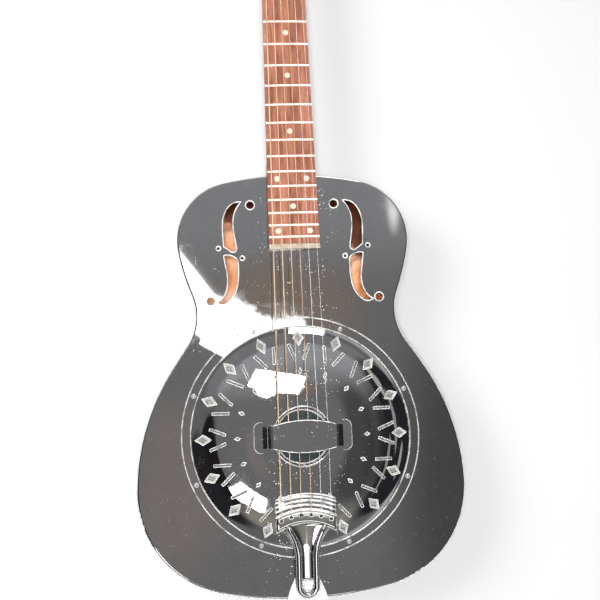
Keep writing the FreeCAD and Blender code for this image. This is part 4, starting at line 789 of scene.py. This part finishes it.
def stem_ridges():
    """The path of the two ridges, which join in a loop round the hinge."""
    low = HINGE.y + 1 * MM
    flank = []
    for k in range(29):
        y = STEM_TOP_Y + (low - STEM_TOP_Y) * k / 28
        flank.append(Vector((stem_half(y), y, stem_level(y))))
    loop = []
    for k in range(1, 24):
        a = math.pi * k / 24
        y = low - STEM_HALF * math.sin(a)
        loop.append(Vector((STEM_HALF * math.cos(a), y, stem_level(y))))
    return flank + loop + [Vector((-point.x, point.y, point.z)) for point in reversed(flank)]


def tailpiece():
    """The pressed tailpiece: a ribbed head, a rail with the string holes, and a stem with two
    round ridges that join in a loop at the hinge."""
    steps = 56
    piece = Builder()
    piece.slab([head_row(radius, level, steps) for radius, level in HEAD_SECTION], 0.9 * MM)
    ribs = Builder()
    for radius, level, half in RIBS:
        bead = [half * MM] * (steps + 1)
        bead[0] = bead[-1] = 0.4 * half * MM
        ribs.tube(head_row(radius, level, steps), bead, sides=14)
    ribs.make("tailpiece_ribs", HIGHLIGHT_EDGE)

    path = stem_ridges()
    radii = [STEM_TUBE] * len(path)
    radii[0] = radii[-1] = 0.35 * STEM_TUBE
    radii[1] = radii[-2] = 0.85 * STEM_TUBE
    piece.tube(path, radii, sides=24)

    # the sheet between the ridges, hollow in its middle
    web_end = HINGE.y + 8 * MM
    edge_drop, middle_drop = 0.2, 2.0
    web = []
    for k in range(25):
        y = WEB_TOP_Y + (web_end - WEB_TOP_Y) * k / 24
        half = stem_half(min(y, STEM_TOP_Y))
        web.append([Vector((half * t, y, stem_level(y) - (edge_drop + middle_drop * (1 - t * t)) * MM))
                    for t in (j / 8 - 1 for j in range(17))])
    piece.slab(web, 1.0 * MM)

    skirt_drop = 2.6 * MM
    for side in (1, -1):
        line = [Vector((side * x * MM, y * MM, stem_level(y * MM) - skirt_drop)) for x, y in SKIRT]
        piece.tube(line, 0.8 * MM)
    piece.make("tailpiece_pressing", CHROME_SMALL, replaces=("tailpiece",))


def string_holes():
    """Black plugs in the holes behind the rail that the strings run into, painted shade for their dark insides,
    and the holes' raised rims.
    """
    arc, behind, deck = 68.1 * MM, 1.4 * MM, 97.6 * MM
    pitch = 10.7 * MM
    hole, mouth, rim = 2.0 * MM, 1.7 * MM, 2.1 * MM
    holes = Builder()
    rims = Builder()
    for k in range(6):
        x = (k - 2.5) * pitch
        base = Vector((x, head_arc(arc, x) - behind, deck))
        # painted shade: a black plug in each hole for the shade inside it
        holes.tube([base, base + Vector((0, 0, 0.8 * MM)), base + Vector((0, 0, 1.15 * MM))],
                   [hole, hole, mouth], sides=20)
        path = [base + Vector((rim * math.cos(a), rim * math.sin(a), 0.9 * MM))
                for a in whole_turn(24)]
        rims.tube(path, 0.4 * MM, closed=True, sides=8)
    holes.make("string_holes", MATERIALS["black_plastic"])
    rims.make("string_hole_rims", HIGHLIGHT_EDGE)


# --- String coils -------------------------------------------------------------------------

WIRE_RADII = (0.15, 0.205, 0.305, 0.405, 0.535, 0.675)
POST_RADIUS = 2.65 * MM


def string_coils():
    """The last turns of each string, which turn with its post."""
    steps = 24
    for number, wire in enumerate(WIRE_RADII, 1):
        joint = next(j for j in frame["joints"] if j["name"] == f"post_{number}_turn")
        axis = Vector(joint["axis"]).normalized()
        base = Vector(joint["pos_m"])
        vertices = NODES[f"string_{number}"].data.vertices
        tip = max((vertex.co for vertex in vertices), key=lambda co: co.y)
        start = (tip - base).dot(axis)
        side = axis.cross(Vector((1, 0, 0))).normalized()
        other = axis.cross(side)
        radius = wire * MM
        pitch = 2.15 * radius
        turns = min(5.0, 3.2 * MM / pitch)
        reach = POST_RADIUS + 1.02 * radius
        path = []
        for k in range(round(turns * steps) + 1):
            a = 2 * math.pi * k / steps
            out = (side * math.cos(a) + other * math.sin(a)) * reach
            path.append(base + axis * (start + pitch * k / steps) + out)
        slot = "plain_steel" if number < 3 else "bronze_winding"
        coil = Builder()
        coil.tube(path, radius, sides=8)
        coil.make(f"string_coil_{number}", MATERIALS[slot], body=f"post_{number}")


# --- Fingerboard --------------------------------------------------------------------------

def fingerboard_end():
    """The pale strip across the body end of the fingerboard."""
    low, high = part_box("fingerboard")
    length, proud, depth = 5.2 * MM, 0.12 * MM, 5.5 * MM
    half = high.x - 0.1 * MM
    face = low.y - 0.05 * MM
    crown_radius = 305 * MM
    tilt = math.tan(math.radians(2.12))
    steps = 16
    rows = []
    for along in (0.0, length):
        row = []
        for k in range(steps + 1):
            x = half * (2 * k / steps - 1)
            level = high.z + proud - x * x / (2 * crown_radius) - along * tilt
            row.append(Vector((x, face + along, level)))
        rows.append(row)
    lower = [point - Vector((0, 0, depth)) for point in rows[0]]
    pale = bone("end_strip", (0.34, 0.30, 0.25), (0.20, 0.165, 0.13), 0.45)
    strip = Builder()
    strip.grid([lower] + rows)
    strip.make("fingerboard_end_strip", pale, flat=True)


# --- Stage --------------------------------------------------------------------------------

GUITAR_CENTRE = (0, 0.1, 0.05)
CEILING = 3.0
# outlines of the bright cards that the metal mirrors, each as (x, y)
LAMP = ((-0.120, 0.690), (-0.016, 0.592), (0.039, 0.520), (0.094, 0.444), (0.154, 0.420),
        (0.258, 0.360), (0.380, 0.352), (0.380, 0.290), (0.110, 0.272), (0.055, 0.306),
        (-0.100, 0.420))
LOW_LAMP = ((-0.066, 0.181), (0.063, 0.126), (0.045, 0.062), (-0.018, 0.091), (-0.085, 0.130))
SECOND_LAMP = ((-0.860, -0.800), (-0.369, -0.509), (-0.054, -0.676), (-0.139, -0.915),
               (-0.450, -0.990), (-0.920, -1.030))
STRIP = ((-0.02, -0.300), (0.11, -0.300), (0.11, -0.226), (-0.02, -0.226))
# an upright card beyond the headstock, as (x, z)
WINDOW = ((0.2, 1.3), (1.6, 1.3), (1.6, 2.55), (0.2, 2.55))
WINDOW_Y = 4.0
# patches of the sky: centre, half size, softness and colour, as slopes from the vertical
ROOM_TONES = (
    ((0.10, 0.26), (0.40, 0.14), 0.5, (0.235, 0.235, 0.24)),
    ((0.295, -0.06), (0.10, 0.22), 0.6, (0.072, 0.068, 0.068)),
    ((-0.10, 1.05), (1.30, 0.75), 0.3, (0.20, 0.20, 0.205)),
    ((0.06, 0.46), (0.60, 0.24), 0.5, (0.34, 0.34, 0.35)),
    ((0.114, 0.085), (0.050, 0.036), 0.9, (0.215, 0.175, 0.150)),
    ((0.02, -0.04), (0.045, 0.06), 0.8, (0.205, 0.178, 0.175)),
    ((0.06, -0.62), (0.55, 0.32), 0.7, (0.27, 0.255, 0.21)),
    ((0.12, -0.42), (0.10, 0.05), 0.5, (0.80, 0.80, 0.79)),
    ((-0.62, -0.22), (0.42, 0.42), 0.25, (0.015, 0.012, 0.014)),
    ((-1.50, -0.75), (1.10, 0.85), 0.3, (0.02, 0.018, 0.02)),
    ((-7.0, 0.5), (4.6, 5.5), 0.3, (0.05, 0.05, 0.055)),
    ((7.5, 0.0), (4.6, 5.5), 0.3, (0.05, 0.05, 0.055)),
    ((2.35, -0.10), (1.97, 1.35), 0.12, (0.020, 0.020, 0.024)),
    ((1.02, 0.12), (0.10, 0.30), 0.3, (0.32, 0.31, 0.30)),
    ((0.62, -0.22), (0.05, 0.20), 0.2, (0.30, 0.28, 0.26)),
    ((1.75, -0.45), (0.22, 0.30), 0.3, (0.38, 0.37, 0.35)),
    ((0.80, 0.42), (0.12, 0.16), 0.4, (0.42, 0.41, 0.39)),
    ((0.1975, 0.162), (0.0038, 0.017), 1.2, (0.95, 0.95, 0.92)),
)
# the sky's greys from the horizon (0) to straight up (1)
SKY_GREYS = ((0.0, 1.0), (0.16, 0.95), (0.27, 0.55), (0.40, 0.14), (0.80, 0.13), (1.0, 0.165))

def floor():
    """A plain pale sheet under the guitar."""
    half = 12.0
    corners = [(-half, -half, 0), (half, -half, 0), (half, half, 0), (-half, half, 0)]
    mesh = bpy.data.meshes.new("floor")
    mesh.from_pydata(corners, [], [(0, 1, 2, 3)])
    sheet = bpy.data.objects.new("floor", mesh)
    sheet.location.z = cad_box[0].z - 0.2 * MM
    bpy.context.scene.collection.objects.link(sheet)
    shader = Shader("floor_paper", Roughness=0.8)
    tone = shader.noise(2.5, 3.0)
    shader.feed(Base_Color=shader.ramp(tone, (0.3, 0.435), (0.7, 0.445)))
    mesh.materials.append(shader.material)


def area_light(name, place, size, power):
    """A soft square light aimed at the guitar; the metal doesn't mirror it."""
    light = bpy.data.lights.new(name, "AREA")
    light.shape = "RECTANGLE"
    light.size = light.size_y = size
    light.energy = power
    holder = bpy.data.objects.new(name, light)
    holder.location = place
    aim = Vector(GUITAR_CENTRE) - Vector(place)
    holder.rotation_euler = aim.to_track_quat("-Z", "Y").to_euler()
    holder.visible_glossy = False
    bpy.context.scene.collection.objects.link(holder)


def card(name, corners, strength, colour=(1, 1, 1)):
    """A bright panel that shows only in reflections."""
    mesh = bpy.data.meshes.new(name)
    mesh.from_pydata(corners, [], [tuple(range(len(corners)))])
    panel = bpy.data.objects.new(name, mesh)
    bpy.context.scene.collection.objects.link(panel)
    material = bpy.data.materials.new(name)
    material.use_nodes = True
    tree = material.node_tree
    tree.nodes.clear()
    glow = tree.nodes.new("ShaderNodeEmission")
    out = tree.nodes.new("ShaderNodeOutputMaterial")
    glow.inputs["Color"].default_value = tuple(colour) + (1,)
    glow.inputs["Strength"].default_value = strength
    tree.links.new(glow.outputs["Emission"], out.inputs["Surface"])
    mesh.materials.append(material)
    panel.visible_camera = False
    panel.visible_diffuse = False
    panel.visible_shadow = False
    panel.visible_transmission = False


def lights():
    area_light("key", (-2.4, 1.2, 2.7), 1.8, 125)
    area_light("overhead", (0.2, 0.3, 3.6), 3.0, 30)
    area_light("fill", (-0.3, -0.05, 2.4), 0.35, 92)
    card("lamp", [(x, y, CEILING) for x, y in LAMP], 5.0)
    # so low that only the dome of the cover shows it
    card("low_lamp", [(x, y, 0.5) for x, y in LOW_LAMP], 5.0)
    card("second_lamp", [(x, y, CEILING) for x, y in SECOND_LAMP], 4.0, (1.0, 0.98, 0.92))
    card("strip", [(x, y, 0.39) for x, y in STRIP], 1.6)
    card("window", [(x, WINDOW_Y, z) for x, z in WINDOW], 5.0)


def surroundings():
    """Dark grey above, as a mirror shows a dim room, and pale near the horizon."""
    world = bpy.data.worlds.new("surroundings")
    bpy.context.scene.world = world
    world.use_nodes = True
    tree = world.node_tree
    place = tree.nodes.new("ShaderNodeTexCoord")
    split = tree.nodes.new("ShaderNodeSeparateXYZ")
    tree.links.new(place.outputs["Generated"], split.inputs["Vector"])
    greys = [(height, (grey, grey * 0.97, grey * 0.96)) for height, grey in SKY_GREYS]
    colour = colour_ramp(tree, split.outputs["Z"], greys)

    def patch_axis(slope, centre, half):
        offset = calculate(tree, "DIVIDE", calculate(tree, "SUBTRACT", slope, centre), half)
        return calculate(tree, "MULTIPLY", offset, offset)

    height = calculate(tree, "MAXIMUM", split.outputs["Z"], 0.05)
    across = calculate(tree, "DIVIDE", split.outputs["X"], height)
    along = calculate(tree, "DIVIDE", split.outputs["Y"], height)
    for (centre_x, centre_y), (half_x, half_y), soft, tone in ROOM_TONES:
        x_part = patch_axis(across, centre_x, half_x)
        y_part = patch_axis(along, centre_y, half_y)
        fade = tree.nodes.new("ShaderNodeMapRange")
        fade.interpolation_type = "SMOOTHSTEP"
        fade.inputs["From Min"].default_value = 1.0 + soft / 2
        fade.inputs["From Max"].default_value = 1.0 - soft / 2
        distance = calculate(tree, "SQRT", calculate(tree, "ADD", x_part, y_part))
        tree.links.new(distance, fade.inputs["Value"])
        colour = mix_colours(tree, fade.outputs["Result"], colour, tone)
    tree.links.new(colour, tree.nodes["Background"].inputs["Color"])


def camera():
    """Almost straight down, from over the bass side."""
    data = bpy.data.cameras.new("camera")
    data.lens = 83.38
    data.sensor_width = 36.0
    view = bpy.data.objects.new("camera", data)
    lean = math.radians(2.33)
    back = Vector((-0.1253, -0.0932, 1.0)).normalized()
    up = Vector((math.sin(lean), math.cos(lean), 0))
    right = up.cross(back).normalized()
    view.matrix_world = Matrix((right, back.cross(right), back)).transposed().to_4x4()
    view.location = (-0.1833, 0.0084, 1.582)
    bpy.context.scene.collection.objects.link(view)
    bpy.context.scene.camera = view


paint_nodes()
hole_lips()
shell_lining()
body_seams()
cover_edges()
cover_rims()
cone_crown()
hand_rest_edges()
tailpiece()
string_holes()
string_coils()
fingerboard_end()
floor()
lights()
surroundings()
camera()
bpy.context.scene.view_settings.view_transform = "Standard"
